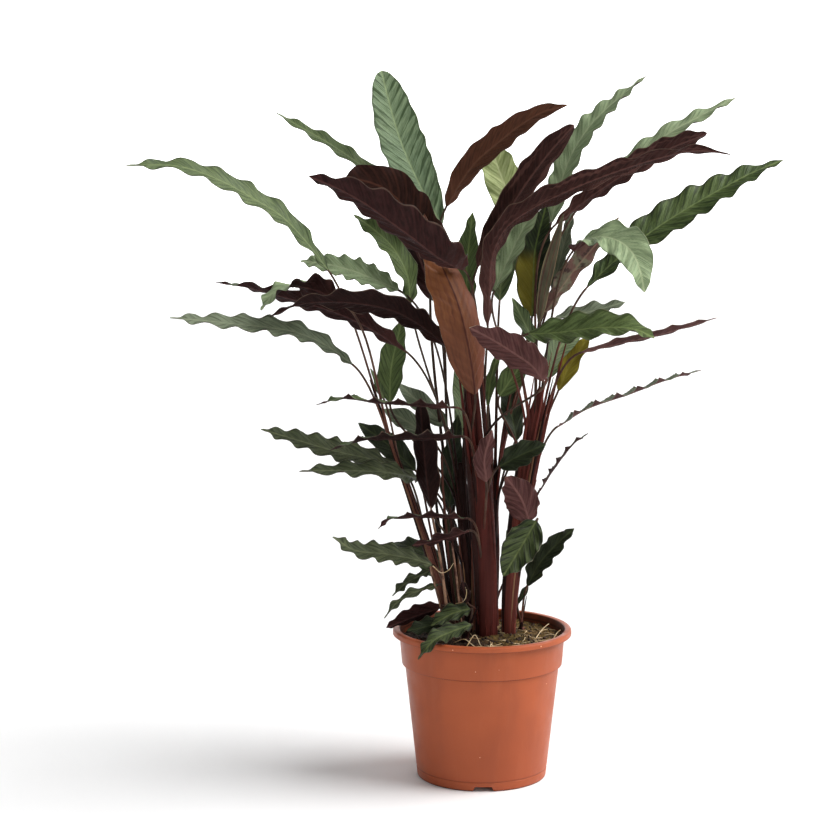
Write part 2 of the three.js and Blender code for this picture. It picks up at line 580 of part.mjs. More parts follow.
addNode('pot', potGeometry(), MATERIALS.pot);
addNode('soil', soilGeometry(), MATERIALS.soil);
const leaves = LEAVES.map(describedLeaf);
for (const [name, shoot] of Object.entries(SHOOTS)) {
  const own = leaves.filter((leaf) => leaf.shoot === name);
  addNode(`shoot_${name}`, shootGeometry(shoot, own), MATERIALS.stem);
}
for (const leaf of leaves) {
  if (!leaf.fused) addNode(leaf.name, bladeGeometry(leaf), MATERIALS.leaf);
}

export default plant;
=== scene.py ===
"""Looks of the potted calathea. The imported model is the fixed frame, and each piece keeps its node's form.

Lengths are in millimetres until a mesh is made, and Blender's are in metres. +Z is up and -Y is the front.
"""

import math
import random

import bpy
import numpy as np
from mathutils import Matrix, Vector, noise


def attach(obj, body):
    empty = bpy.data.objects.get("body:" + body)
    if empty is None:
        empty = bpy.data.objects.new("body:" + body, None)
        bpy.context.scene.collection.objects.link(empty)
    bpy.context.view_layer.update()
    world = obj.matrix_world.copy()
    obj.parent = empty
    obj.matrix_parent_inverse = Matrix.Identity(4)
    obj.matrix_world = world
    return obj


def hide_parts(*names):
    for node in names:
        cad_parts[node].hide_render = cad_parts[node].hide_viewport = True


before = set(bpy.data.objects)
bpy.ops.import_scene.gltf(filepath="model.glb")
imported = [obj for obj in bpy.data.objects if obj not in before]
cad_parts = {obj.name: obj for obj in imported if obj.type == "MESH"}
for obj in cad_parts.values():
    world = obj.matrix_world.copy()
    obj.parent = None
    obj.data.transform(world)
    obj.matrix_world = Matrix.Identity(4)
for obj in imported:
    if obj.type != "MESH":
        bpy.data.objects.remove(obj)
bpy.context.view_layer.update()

# ---- dimensions ----
MM = 0.001
SEED = 7

POT = {
    "sides": 160,
    "height": 176.3,
    "lip_radius": 105,
    "lip_height": 6.8,
    "collar_top": 98,
    "collar_bottom": 94,
    "body_top": 90.5,
    "foot_radius": 75.8,
    "ledge": 134,
    "wall": 2,
    "foot_height": 6,
    "foot_ring": 6,
    "centre_foot": 12,
    "groove_height": 11,
    "groove_depth": 0.7,
    "sharp": 50,  # edges that turn by more degrees than this stay sharp
}
NOTCHES = {"count": 3, "top": 19, "bottom": 25}
DRAINS = {"count": 6, "radius": 5, "circle": 45}
# Small moulding marks and splashes on the pot: degrees round from the front (plus is right),
# height and size.
SPECKS = [(-20, 172.2, 1.5), (38, 172.6, 1.8), (-6, 146, 1.3), (10, 148, 0.8), (-3, 42, 1.2), (55, 121, 1.1)]
SPECK_FORM = {"sink": 0.15, "rise": 0.45, "sides": 12, "rings": 4}

# Painted shade lines under the lip and ledge, in the groove and at the foot: height, reach to both sides and
# strength.
POT_PAINTED_SHADE_LINES = [(168.6, 1.9, 0.85), (133.9, 1.3, 0.7), (11, 1, 0.35), (0.3, 2, 0.75)]

SOIL = {"top": 164, "mound": 4, "bump": 1.6, "gap": 0.3}
# Straws on the soil: from and to (x, y), and how high they rise.
STRAWS = [
    ((62, -18), (80, 22), 11), ((82, -22), (92, -2), 9), ((44, -40), (88, -26), 4), ((36, 22), (52, -4), 8),
    ((20, -62), (52, -58), 5), ((-8, -70), (22, -60), 4), ((-26, -66), (4, -74), 6),
]
# Withered threads that hang among the left stalks and lie at the front of the soil.
THREADS = [
    [(-58, -24, 254), (-48, -30, 247), (-40, -30, 250), (-34, -28, 258)],
    [(-24, -26, 236), (-19, -30, 226), (-22, -30, 214), (-32, -28, 210)],
    [(-34, -62, 172), (-22, -70, 178), (-12, -76, 172), (-4, -80, 169), (8, -76, 171), (20, -70, 173)],
    [(-20, -78, 171), (-10, -66, 182), (-4, -72, 172), (0, -80, 169)],
]
# Dry, torn stalks in front of the clump's left side: their half-width, and the points they follow.
DRY_STALKS = [
    (1.9, [(-34, -23, 166), (-39, -24, 185), (-43, -24, 214), (-48, -24, 254), (-55, -22, 293),
           (-61, -22, 324)]),
    (1.4, [(-23, -26, 166), (-25, -27, 188), (-29, -27, 226), (-32, -26, 254), (-36, -25, 279)]),
    (1.2, [(-41, -22, 166), (-48, -22, 199), (-53, -22, 221), (-59, -22, 243), (-63, -21, 262)]),
]
# More stalks between the left and dark bundles: half-width, points and one of the dark bundle's slots.
BETWEEN_STALKS = [
    (2.3, [(-32, 6, 166), (-34, 6, 181), (-41, 4, 232), (-48, 3, 279), (-53, 3, 315), (-56, 5, 352)], 0),
    (2.0, [(-27, 2, 166), (-29, 2, 182), (-37, 0, 238), (-42, 0, 292), (-46, 2, 339), (-48, 6, 383)], 3),
    (1.8, [(-38, 2, 166), (-41, 2, 184), (-51, 0, 242), (-60, 0, 289), (-67, 0, 327), (-74, 2, 360)], 3),
    (1.6, [(-23, -1, 166), (-25, -2, 183), (-31, -4, 233), (-35, -5, 281), (-38, -5, 322)], 3),
    (4.0, [(-31, 10, 166), (-37, 9, 195), (-42, 9, 222), (-46, 9, 246), (-49, 9, 270), (-54, 9, 309)], 0),
    (3.4, [(-25, 9, 166), (-30, 8, 198), (-35, 8, 240), (-39, 8, 272), (-42, 8, 310)], 4),
    (2.4, [(-29, 13, 166), (-34, 12, 195), (-38, 12, 240), (-43, 12, 280), (-46, 12, 306)], 0),
]
HOLE_DEPTH = 22  # the bundles reach this far below the top of the soil
STRAND_DEPTH = 8  # and the strands on them this far
CLEAR_OF_SOIL = SOIL["top"] + SOIL["mound"] + 2 * SOIL["bump"]

BLADE = {
    "thickness": 0.8,
    "base_half": 1.9,
    "tip_half": 0.5,
    "rise": 0.6,
    "fall": 0.8,
    "blunt_fall": 0.5,
    "fold": 12,  # degrees that each half stands up from the midrib
    "wave": 3,
    "most_wave": 0.5,  # share of half the width
    "calm_end": 14,  # waves and pleats reach their height within 1/14 of the length
    "station": 2.6,  # distance between sections along the blade
    "per_wave": 12,  # and at least this many of them for each wave
    "slant": 1.15,  # how far the side veins run towards the tip for each step outwards
    "more_slant": 0.9,  # added to that on the narrowest leaves
    "broad": 50,  # none is added at this width
    "narrow": 25,  # and all of it at this one
    "pleat": 1.3,  # height of the pleats between the side veins
    "pleat_share": 0.07,  # and the most that it is of half the width
    "vein_spacing": 5,
    "spacing_share": 0.15,  # of the width, added to that
    "ripple": 0.22,  # height of the small waves, as a share of the large ones
    "scallop": 0.03,  # how much the outline swells and narrows
    "cusp": 0.8,  # the lower, the sharper the teeth of a blade held edge-on
    "rim_thinning": 0.55,
    "midrib": 0.9,  # height of the midrib below the blade
    "midrib_half": 1.3,
    "midrib_thinning": 0.75,
}
PETIOLE = {
    "sides": 12,
    "steps": 28,
    "root": 1.5,
    "root_share": 0.03,  # of the blade's width, added to that
    "flat": 0.55,  # depth of the stalk along the bundle, as a share of its width
    "end": 1.3,
    "thinning": 0.5,
    "climb": 70,  # it leaves the bundle this far below the blade
    "lowest": 0.1,
    "highest": 0.85,
    "full_lean": 0.5,
    "side": 0.7,
    "hug": 0.86,
    "rise": 0.4,  # it leaves along the bundle for this share of the way
    "approach": 0.22,  # and meets the blade in line with its midrib for this share
}
SHEATH = {
    "sides": 48,
    "steps": 40,
    "tip": 30,
    "tip_rings": 8,
    "tip_share": 0.35,
    "upright": 0.35,
    "core": 0.86,
    "core_top": 0.6,
    "groove": 0.08,
    "lobes": 0.75,  # grooves for each millimetre of half the width
    "strand": 2.4,
    "strand_share": 0.25,  # the most that a strand is of the bundle's depth
    "strand_sides": 12,
    "channel": 0.12,  # depth of the channel along it, as a share of its own
    "hug": 0.84,
    "lift": 0.14,  # the strand's point stands off the bundle by this share
    "point": 0.22,  # share of the height over which it narrows
}
HAIRS = {"spacing": 5, "length": 1.1, "radius": 0.07}
LITTER = {"moss": 900, "roots": 46, "crumbs": 520}  # how many are tried

# The camera, in metres and degrees, and the lights: direction to each sun, strength and softness in degrees.
CAMERA = {"place": (-0.0728, -2.4, 0.73), "pitch": 7.33, "lens": 89.44, "sensor": 36}
SUNS = {"key": ((0.85, -0.06, 0.76), 4.05, 50), "fill": ((0.3, -0.95, 0.1), 0.75, 60)}
WORLD_GLOW = 0.23
BACKDROP_GLOW = 0.6
STUDIO_REACH = 9
WHITE = (1, 1, 1, 1)

# The shoots: foot in the soil, end of the sheath, half-sizes across and deep at the soil and at the end, and
# how upright one stands at its foot, if it differs.
SHOOT_ROWS = {
    "front": ((5, -8), (-14, -15, 450), (12.5, 7.5), (15, 6)),
    "right": ((31, 2), (62, 3, 430), (8, 7), (17, 6.5)),
    "left": ((-37, -2), (-121, 0, 440), (9, 5), (3.2, 3), 0.1),
    "dark": ((-12, 17), (-23, 12, 340), (10, 6), (12, 5.5)),
    "back": ((12, 44), (16, 52, 340), (9, 7), (9, 6)),
    "back_left": ((-27, 50), (-36, 55, 300), (8, 6), (7, 5)),
    "small_right": ((47, 18), (48, 18, 180), (3, 3), (2.6, 2.6)),
    "low_front": ((-20, -40), (-17, -41, 183), (5, 4), (4, 3)),
}
SHOOT_PARTS = ("foot", "end", "foot_size", "end_size", "upright")
SHOOTS = {name: dict(zip(SHOOT_PARTS, row)) for name, row in SHOOT_ROWS.items()}
# The dark finish on the other cores is painted shade in the hollow between their strands.
LIT_CORES = ("front", "right")  # the cores of the others are dark

# Each bundle's usual stalk finish, its other ones (slots 2 and on), and the sheaths that wrap it: degrees
# round from the front (plus is right), share of the height that it reaches, half its width, and slot.
BUNDLES = {
    "front": ("front", ["straw"], [
        (0, 0.84, 8.5, 0), (-62, 0.9, 5, 1), (58, 0.8, 5.5, 0), (-95, 0.6, 4, 1), (28, 1.1, 3.2, 0),
        (-30, 0.95, 3, 1), (110, 0.8, 5, 0), (180, 0.85, 7, 1), (-12, 1.2, 2.6, 0), (48, 1.16, 2.4, 0),
        (-50, 1.12, 2.4, 0), (75, 1.22, 2, 1),
    ]),
    "right": ("right", ["straw"], [
        (-8, 0.72, 4.5, 0), (42, 0.85, 3.2, 0), (-55, 0.9, 3.6, 1), (88, 0.75, 3.5, 0), (20, 0.97, 1.4, 2),
        (-28, 0.9, 2.2, 0), (60, 0.95, 2, 0), (180, 0.8, 5, 0), (-36, 1.14, 1.9, 0), (8, 1.2, 1.7, 0),
        (44, 1.12, 1.9, 1), (72, 1.24, 1.6, 0),
    ]),
    "left": ("left", ["straw"], [
        (-5, 0.7, 1.7, 0), (-60, 0.9, 1.6, 1), (50, 0.85, 1.6, 1), (95, 0.8, 1.8, 0), (-28, 0.95, 1.0, 2),
        (25, 0.9, 1.3, 0), (75, 0.6, 1.0, 2), (180, 0.8, 2.4, 1),
    ]),
    "dark": ("dark", ["straw", "left", "green"], [
        (-10, 0.8, 3, 1), (-50, 0.55, 2.0, 2), (28, 0.7, 2.4, 3), (-75, 0.75, 2.4, 3), (60, 0.6, 2.2, 4),
        (10, 0.5, 1.4, 2), (180, 0.8, 4, 1),
    ]),
    "back": ("front", ["green"], [
        (-20, 0.8, 4.5, 0), (40, 0.7, 4, 1), (150, 0.8, 4.5, 0), (-120, 0.7, 4, 0),
    ]),
    "back_left": ("dark", ["straw", "left"], [
        (-20, 0.8, 4, 3), (40, 0.7, 3.5, 2), (160, 0.8, 4, 0), (-110, 0.7, 3.5, 3),
    ]),
    "small_right": ("left", [], [(0, 0.9, 1.8, 1)]),
    "low_front": ("dark", [], [(10, 0.9, 2.4, 0)]),
}

# The leaves: name, width, waves along each edge, turns from base to tip, the points that the blade follows,
# and what differs from the usual. A turn of 0 looks to the front with the upper face, 90 looks up and 180 to
# the back. The names without leaf_ belong to their shoot's node.
LEAVES = {}
LEAVES["front"] = [
    ("leaf_edge_upper", 34, 6, (112, 100, 92), [(-32, -40, 441), (-76, -56, 447), (-121, -74, 452),
     (-160, -88, 458), (-188, -98, 451)]),
    ("leaf_edge_lower", 36, 6, (116, 108, 96), [(-25, -35, 407), (-73, -52, 409), (-135, -74, 410),
     (-157, -84, 405), (-174, -92, 399)]),
    ("leaf_dark_arch", 60, 7, (135,), [(-24, -34, 598), (-54, -92, 620), (-80, -110, 641),
     (-102, -122, 657), (-129, -132, 676), (-159, -141, 692), (-192, -150, 704)],
     {"fold": 22, "wave": 3.4, "root_side": [0.9, 0.6]}),
    ("leaf_amber", 56, 5, (200, 212, 230), [(-10, -30, 455), (-15, -37, 486), (-23, -44, 524),
     (-34, -46, 564), (-52, -38, 606), (-68, -28, 660)],
     {"fold": 18, "wave": 1.5, "root_side": [-0.6, -0.2]}),
    ("leaf_plum_upright", 38, 5, (150,), [(-6, 8, 599), (7, -2, 629), (27, -12, 664), (49, -18, 698),
     (72, -24, 729), (100, -30, 760)], {"blunt": True, "wave": 1.8, "root_side": [0.4, 0.9]}),
    ("leaf_plum_long", 38, 9, (130, 130, 120), [(5, -8, 532), (5, -16, 573), (7, -26, 610), (22, -42, 645),
     (54, -60, 670), (98, -82, 692), (139, -104, 709), (181, -126, 723), (223, -146, 732), (258, -160, 727)],
     {"wave": 2.4, "root_side": [0.8, 0.9]}),
    ("leaf_mauve_fan", 42, 5, (155,), [(67, -45, 472), (55, -56, 490), (30, -70, 509), (5, -86, 525),
     (-18, -100, 537)]),
    ("small_dark_green", 32, 3, (35,), [(19, -25, 371), (42, -38, 386), (70, -52, 400)]),
    ("small_mauve", 24, 3, (160,), [(3, -36, 355), (0, -42, 381), (9, -48, 416)]),
    ("leaf_edge_low_a", 28, 4, (112, 106), [(-19, -30, 311), (-50, -44, 317), (-90, -62, 319),
     (-108, -72, 318), (-120, -80, 308)]),
    ("edge_low_b", 24, 3, (125,), [(-17, -28, 296), (-56, -44, 288), (-82, -60, 285)]),
    ("pot_purple", 13, 2, (170,), [(-18, -26, 212), (-24, -30, 237)]),
]
LEAVES["right"] = [
    ("leaf_grey_upright", 30, 4, (45,), [(13, 10, 571), (29, 14, 608), (48, 18, 646), (75, 22, 684)]),
    ("mid_bright_b", 28, 2, (10,), [(20, 14, 448), (34, 17, 468), (52, 20, 493)]),
    ("leaf_green_across", 54, 5, (60,), [(51, -30, 524), (86, -46, 529), (129, -66, 536), (166, -84, 535),
     (187, -94, 525)]),
    ("leaf_right_purple_edge", 26, 5, (115,), [(113, -10, 501), (154, -8, 512), (198, -2, 521),
     (235, 6, 530), (271, 14, 539)], {"wave": 1.3}),
    ("leaf_right_thin_edge", 30, 7, (97,), [(87, 0, 414), (117, -16, 437), (168, -34, 458), (206, -52, 475),
     (243, -70, 487)]),
    ("leaf_right_low_edge", 22, 6, (104,), [(66, -12, 341), (78, -28, 366), (102, -50, 402),
     (117, -62, 414)], {"wave": 2}),
    ("leaf_right_long", 50, 8, (60, 45, 55), [(122, 20, 575), (143, 26, 596), (172, 34, 621),
     (203, 44, 643), (246, 56, 669), (289, 66, 692), (316, 74, 705), (356, 84, 720)], {"wave": 3.6}),
    ("leaf_pale_droop", 52, 5, (130, 60, 20, 10), [(102, -16, 618), (112, -30, 631), (130, -46, 637),
     (150, -66, 632), (164, -82, 618), (171, -92, 599), (175, -98, 576)]),
    ("leaf_mottled", 27, 4, (150,), [(72, 10, 546), (95, 11, 583), (121, 11, 615), (156, 10, 655)]),
    ("leaf_right_dark", 38, 7, (130, 135), [(85, 26, 647), (112, 24, 671), (142, 21, 693), (174, 17, 714),
     (211, 12, 734), (255, 6, 751)], {"blunt": True, "wave": 2.4}),
    ("leaf_mauve_low", 40, 4, (185,), [(53, -22, 305), (44, -32, 333), (25, -46, 362)]),
    ("leaf_green_low_front", 42, 4, (20,), [(61, -26, 307), (44, -44, 282), (22, -64, 250)]),
    ("olive_young", 24, 2, (35,), [(88, 4, 456), (101, 5, 485), (123, 6, 518)]),
    ("grey_bit", 20, 2, (25,), [(60, 8, 511), (48, 10, 534), (34, 12, 562)]),
    ("rolled", 16, 2, (160,), [(64, -3, 535), (73, 0, 589), (92, 6, 659)], {"wave": 0.5}),
]
LEAVES["left"] = [
    ("leaf_left_high", 36, 7, (60,), [(-179, 6, 595), (-201, -2, 626), (-229, -12, 657), (-262, -26, 679),
     (-295, -42, 698), (-339, -64, 714), (-395, -95, 715)], {"wave": 2.8}),
    ("leaf_left_long", 36, 7, (65,), [(-151, -15, 488), (-178, -24, 510), (-209, -36, 526),
     (-242, -50, 534), (-277, -66, 539), (-314, -84, 544), (-349, -100, 548)]),
    ("leaf_left_curl", 44, 5, (155, 145, 100, 70, 50), [(-165, -46, 564), (-186, -48, 575),
     (-211, -54, 582), (-233, -62, 576), (-251, -70, 554)]),
    ("leaf_left_low_upper", 38, 7, (60,), [(-98, 4, 364), (-128, -8, 377), (-170, -28, 390),
     (-215, -42, 405), (-253, -56, 418)]),
    ("leaf_left_base", 32, 6, (60,), [(-59, -22, 255), (-82, -34, 265), (-113, -50, 274), (-147, -70, 282),
     (-171, -88, 300)]),
    ("left_base_small", 16, 3, (60,), [(-62, 0, 243), (-89, -10, 231), (-105, -18, 217)]),
    ("left_base_tiny", 14, 3, (65,), [(-52, -20, 231), (-84, -30, 222), (-101, -38, 212),
     (-114, -46, 197)]),
    ("leaf_rim_left", 33, 4, (135,), [(-47, -12, 204), (-72, -16, 197), (-94, -20, 189), (-112, -24, 181)],
     {"wave": 1.4}),
    ("left_young", 9, 1, (30,), [(-115, 4, 446), (-130, 4, 481)]),
]
LEAVES["dark"] = [
    ("leaf_left_low_lower", 34, 5, (70,), [(-75, 10, 352), (-114, -50, 369), (-163, -80, 375),
     (-207, -104, 377)]),
    ("leaf_under_upper", 36, 7, (130, 130, 100), [(-91, -5, 503), (-124, -11, 527), (-163, -18, 547),
     (-198, -22, 559), (-233, -18, 568), (-267, -10, 576), (-308, 0, 581)]),
    ("leaf_under_big", 40, 7, (140, 140, 110), [(-36, 14, 501), (-61, 0, 525), (-96, -26, 549),
     (-129, -52, 560), (-168, -70, 565), (-206, -86, 563), (-239, -98, 549)]),
    ("leaf_wavy_left", 38, 7, (50,), [(-98, 30, 570), (-119, 36, 580), (-152, 44, 593), (-184, 54, 600),
     (-214, 64, 602)]),
    ("leaf_mid_left", 32, 4, (40,), [(-84, 26, 556), (-87, 34, 587), (-103, 44, 618), (-126, 58, 639),
     (-151, 74, 656)]),
    ("leaf_stand_left", 32, 3, (15,), [(-108, 20, 440), (-107, 28, 477), (-94, 40, 534)]),
    ("leaf_dark_upright", 34, 3, (145,), [(-60, -12, 320), (-65, -19, 366), (-69, -20, 410),
     (-73, -20, 449)], {"wave": 2}),
    ("dark_back", 28, 3, (30,), [(-39, 22, 309), (-35, 27, 359), (-28, 34, 423)]),
    ("small_left_a", 26, 2, (30,), [(-67, 14, 404), (-90, 26, 418), (-115, 40, 429)]),
    ("leaf_arch_back", 54, 4, (158,), [(-42, 2, 611), (-68, -8, 641), (-90, -20, 669), (-108, -32, 687),
     (-130, -42, 697), (-156, -50, 701)], {"blunt": True, "wave": 3.6, "root_side": [0.2, -0.3]}),
]
LEAVES["back"] = [
    ("leaf_top_broad", 56, 6, (20,), [(-48, 40, 646), (-65, 46, 677), (-83, 54, 714), (-97, 62, 749),
     (-109, 70, 790), (-118, 76, 824)], {"blunt": True, "wave": 1.2}),
    ("leaf_top_right", 36, 8, (30, 50, 70), [(81, 54, 648), (91, 62, 691), (105, 72, 728), (128, 84, 762),
     (153, 96, 786), (196, 116, 819)], {"wave": 2.6}),
    ("right_green", 28, 5, (55,), [(140, 50, 695), (179, 62, 725), (223, 76, 754), (260, 90, 773),
     (301, 104, 793)]),
    ("leaf_olive_centre", 42, 4, (15,), [(58, 34, 539), (59, 36, 576), (61, 38, 616), (74, 40, 668)]),
    ("mid_dark_green", 28, 3, (20,), [(41, 36, 393), (35, 44, 428), (28, 54, 472)]),
    ("leaf_green_upright", 28, 4, (25,), [(-17, 22, 550), (-19, 22, 594), (-12, 24, 660)]),
    ("mid_bright_a", 14, 2, (30,), [(7, 32, 435), (10, 34, 464), (20, 36, 497)]),
    ("leaf_pale_back", 46, 4, (10,), [(57, 64, 629), (38, 74, 667), (19, 86, 714), (10, 94, 741)],
     {"blunt": True}),
    ("grey_narrow", 22, 3, (35,), [(83, 48, 569), (94, 58, 615), (107, 70, 659)]),
    ("yellow_bit", 26, 3, (55,), [(86, 34, 537), (127, 50, 544), (170, 70, 553)]),
    ("leaf_back_fan_c", 36, 2, (10,), [(-19, 76, 460), (-22, 140, 514), (-29, 200, 546)]),
    ("leaf_back_fan_d", 38, 2, (10,), [(22, 80, 555), (30, 130, 630), (45, 190, 652)]),
    ("leaf_back_fan_e", 30, 2, (10,), [(80, 70, 463), (97, 120, 494), (131, 170, 519)]),
    ("leaf_back_low_b", 34, 2, (15,), [(-1, 74, 291), (3, 120, 344), (7, 170, 362)]),
    ("back_low_c", 32, 2, (15,), [(41, 66, 243), (49, 110, 272), (54, 150, 283)]),
]
LEAVES["back_left"] = [
    ("back_left_low", 30, 3, (25,), [(-79, 44, 356), (-109, 66, 382), (-147, 92, 406)]),
    ("small_left_b", 26, 2, (30,), [(-42, 46, 408), (-73, 66, 434), (-99, 90, 454)]),
    ("back_left_base", 30, 3, (55,), [(-51, 42, 248), (-79, 62, 259), (-104, 84, 261)]),
    ("leaf_top_left_narrow", 28, 5, (60,), [(-94, 62, 679), (-149, 78, 720), (-181, 92, 741),
     (-216, 110, 760), (-245, 128, 776)], {"wave": 2}),
    ("leaf_back_fan_a", 30, 2, (10,), [(-20, 72, 388), (-19, 120, 436), (-23, 180, 483)]),
    ("leaf_back_fan_b", 32, 2, (172,), [(-56, 74, 555), (-78, 110, 613), (-102, 150, 647)]),
    ("leaf_back_low_a", 32, 2, (15,), [(-49, 60, 226), (-67, 100, 241), (-91, 140, 241)]),
    ("leaf_brown_arch", 36, 6, (145,), [(-42, 14, 668), (-29, 10, 693), (-11, 4, 718), (15, -3, 741),
     (41, -10, 761), (66, -17, 775), (93, -24, 782)], {"wave": 1.6}),
]
LEAVES["small_right"] = [
    ("leaf_right_base", 28, 4, (40,), [(54, 15, 223), (68, 8, 252), (89, -2, 278), (106, -14, 296)]),
    ("right_base_small", 9, 1, (35,), [(43, 14, 202), (55, 20, 222)]),
]
LEAVES["low_front"] = [
    ("leaf_pot_green", 25, 3, (50,), [(-15, -32, 205), (-35, -40, 202), (-60, -50, 189)]),
    ("leaf_over_rim", 24, 4, (55,), [(-14, -52, 191), (-39, -72, 187), (-58, -94, 182), (-75, -108, 164)]),
    ("pot_dark", 24, 3, (50,), [(-44, -30, 191), (-68, -33, 184), (-88, -36, 180)]),
]

# Which upper and lower side each leaf shows, where it isn't the usual green over maroon.
TOPS = {
    # The top_right leaf wears the pale finish as painted back-light, brighter than its own green.
    "pale": "top_right right_green pale_droop grey_upright wavy_left left_curl",
    "grey": "top_broad",
    "forest": "right_long",
    "fresh": "green_across mid_left green_upright mid_bright_a mid_bright_b stand_left",
    "muted": "left_long small_left_a small_left_b yellow_bit grey_narrow right_thin_edge",
    "murky": "pot_green over_rim green_low_front",
    "dusky": "left_low_upper left_low_lower left_base left_base_small left_base_tiny right_dark",
    # The deep finish is a dark green, darkened further as painted shade for leaves in the clump's shade.
    "deep": "right_base right_base_small pot_dark dark_back mid_dark_green small_dark_green "
            "back_left_base back_left_low rim_left",
    "turning": "olive_centre",
    "lime_backlit": "pale_back",
    "olive": "olive_young",
    "rolled": "rolled",
    "blotched": "mottled",
}
UNDERS = {
    "mauve": "mauve_fan mauve_low small_mauve",
    "amber": "amber",
    "brown": "brown_arch",
    "bark": "arch_back",
    "dusty": "right_purple_edge right_thin_edge",
    "blotched": "mottled",
    "rolled": "rolled",
    "plum": "plum_upright plum_long right_dark",
    # The black underside is the maroon darkened further, partly painted shade for undersides that lie in
    # shade.
    "black": "dark_upright under_big edge_lower pot_purple",
    "lime_backlit": "pale_back",
}
PALE_RIMMED = ("mauve", "dusty", "amber", "lime_backlit")


# ---- small helpers ----
def mix(a, b, t):
    return a + (b - a) * t


def smooth(t):
    return t * t * (3 - 2 * t)


def unit(v):
    return v / np.maximum(np.linalg.norm(v, axis=-1, keepdims=True), 1e-9)


def round_angles(sides):
    return np.arange(sides) * 2 * np.pi / sides


def oval(wide, deep, angle, height=0.0):
    """A level ring of points at these angles, of half-sizes `wide` and `deep`."""
    return np.stack([wide * np.cos(angle), deep * np.sin(angle), height + 0 * angle], axis=1)


def srgb(red, green, blue):
    """A colour given as 0 to 255, made linear."""
    parts = []
    for value in (red, green, blue):
        value /= 255
        parts.append(value / 12.92 if value < 0.04045 else ((value + 0.055) / 1.055) ** 2.4)
    return (*parts, 1)


def placed(name, data):
    made = bpy.data.objects.new(name, data)
    bpy.context.scene.collection.objects.link(made)
    return made


class Rib:
    """A centripetal spline through the points, measured by its length."""

    DIVISIONS = 200

    def __init__(self, points):
        p = np.array(points, float)
        self.knots = np.vstack([2 * p[0] - p[1], p, 2 * p[-1] - p[-2]])
        samples = self.at(np.linspace(0, 1, self.DIVISIONS + 1))
        steps = np.linalg.norm(np.diff(samples, axis=0), axis=1)
        self.lengths = np.concatenate([[0], np.cumsum(steps)])
        self.length = self.lengths[-1]

    def at(self, t):
        t = np.clip(np.atleast_1d(t), 0, 1)
        spans = len(self.knots) - 3
        k = np.minimum((t * spans).astype(int), spans - 1)
        w = (t * spans - k)[:, None]
        p0, p1, p2, p3 = (self.knots[k + n] for n in range(4))
        pairs = ((p0, p1), (p1, p2), (p2, p3))
        d0, d1, d2 = (np.linalg.norm(b - a, axis=1)[:, None] ** 0.5 for a, b in pairs)
        m1 = ((p1 - p0) / d0 - (p2 - p0) / (d0 + d1) + (p2 - p1) / d1) * d1
        m2 = ((p2 - p1) / d1 - (p3 - p1) / (d1 + d2) + (p3 - p2) / d2) * d1
        cubic = 2 * p1 - 2 * p2 + m1 + m2
        square = -3 * p1 + 3 * p2 - 2 * m1 - m2
        return cubic * w**3 + square * w**2 + m1 * w + p1

    def share(self, u):
        return np.interp(np.atleast_1d(u) * self.length, self.lengths, np.linspace(0, 1, self.DIVISIONS + 1))

    def point(self, u):
        return self.at(self.share(u))

    def tangent(self, u):
        t = self.share(u)
        return unit(self.at(t + 1e-4) - self.at(t - 1e-4))


class Bezier:
    """A Bezier curve of three or four points."""

    def __init__(self, *points):
        self.points = [np.array(p, float) for p in points]

    def point(self, t):
        t = np.atleast_1d(np.asarray(t, float))[:, None]
        n = len(self.points) - 1
        return sum(math.comb(n, k) * (1 - t) ** (n - k) * t**k * p for k, p in enumerate(self.points))

    def tangent(self, t):
        t = np.atleast_1d(np.asarray(t, float))
        return unit(self.point(np.minimum(t + 1e-3, 1)) - self.point(np.maximum(t - 1e-3, 0)))


class Shape:
    """Vertices, faces, a material number for each face and named numbers for each vertex."""

    def __init__(self):
        self.points, self.faces, self.slots, self.numbers = [], [], [], {}
        self.count = 0

    def add(self, points, faces, slot, **numbers):
        self.points.append(points)
        self.faces += [tuple(int(i) + self.count for i in face) for face in faces]
        self.slots += list(slot) if hasattr(slot, "__len__") else [slot] * len(faces)
        for name in {**self.numbers, **numbers}:
            column = self.numbers.setdefault(name, [np.zeros(self.count)])
            column.append(np.broadcast_to(numbers.get(name, 0.0), len(points)).astype(float))
        self.count += len(points)

    def object(self, name, materials):
        mesh = bpy.data.meshes.new(name)
        mesh.from_pydata((np.vstack(self.points) * MM).tolist(), [], self.faces)
        for material in materials:
            mesh.materials.append(material)
        mesh.polygons.foreach_set("material_index", self.slots)
        mesh.polygons.foreach_set("use_smooth", [True] * len(self.faces))
        for key, column in self.numbers.items():
            mesh.attributes.new(key, "FLOAT", "POINT").data.foreach_set("value", np.concatenate(column))
        mesh.validate()
        mesh.update()
        return placed(name, mesh)


def loft_faces(rings, sides, closed_ends=True):
    """Faces between rings of points that run round a tube, numbered ring by ring."""
    faces = []
    for r in range(rings - 1):
        for k in range(sides):
            a, b = r * sides + k, r * sides + (k + 1) % sides
            faces.append((a, b, b + sides, a + sides))
    if closed_ends:
        faces.append(tuple(reversed(range(sides))))
        faces.append(tuple(range((rings - 1) * sides, rings * sides)))
    return faces


def turned_faces(rings, sides, flipped=False):
    """Faces of rings about Z that come after two points on the axis, one before and one after the rings."""
    last = 2 + (rings - 1) * sides
    faces = []
    for k in range(sides):
        after = (k + 1) % sides
        faces.append((0, 2 + after, 2 + k))
        faces.append((1, last + k, last + after))
        for a in range(2, last, sides):
            faces.append((a + k, a + after, a + sides + after, a + sides + k))
    return [(first, *reversed(others)) for first, *others in faces] if flipped else faces


def finish_piece(piece, slot, *nodes):
    if nodes:
        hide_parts(*nodes)
    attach(piece, "root")


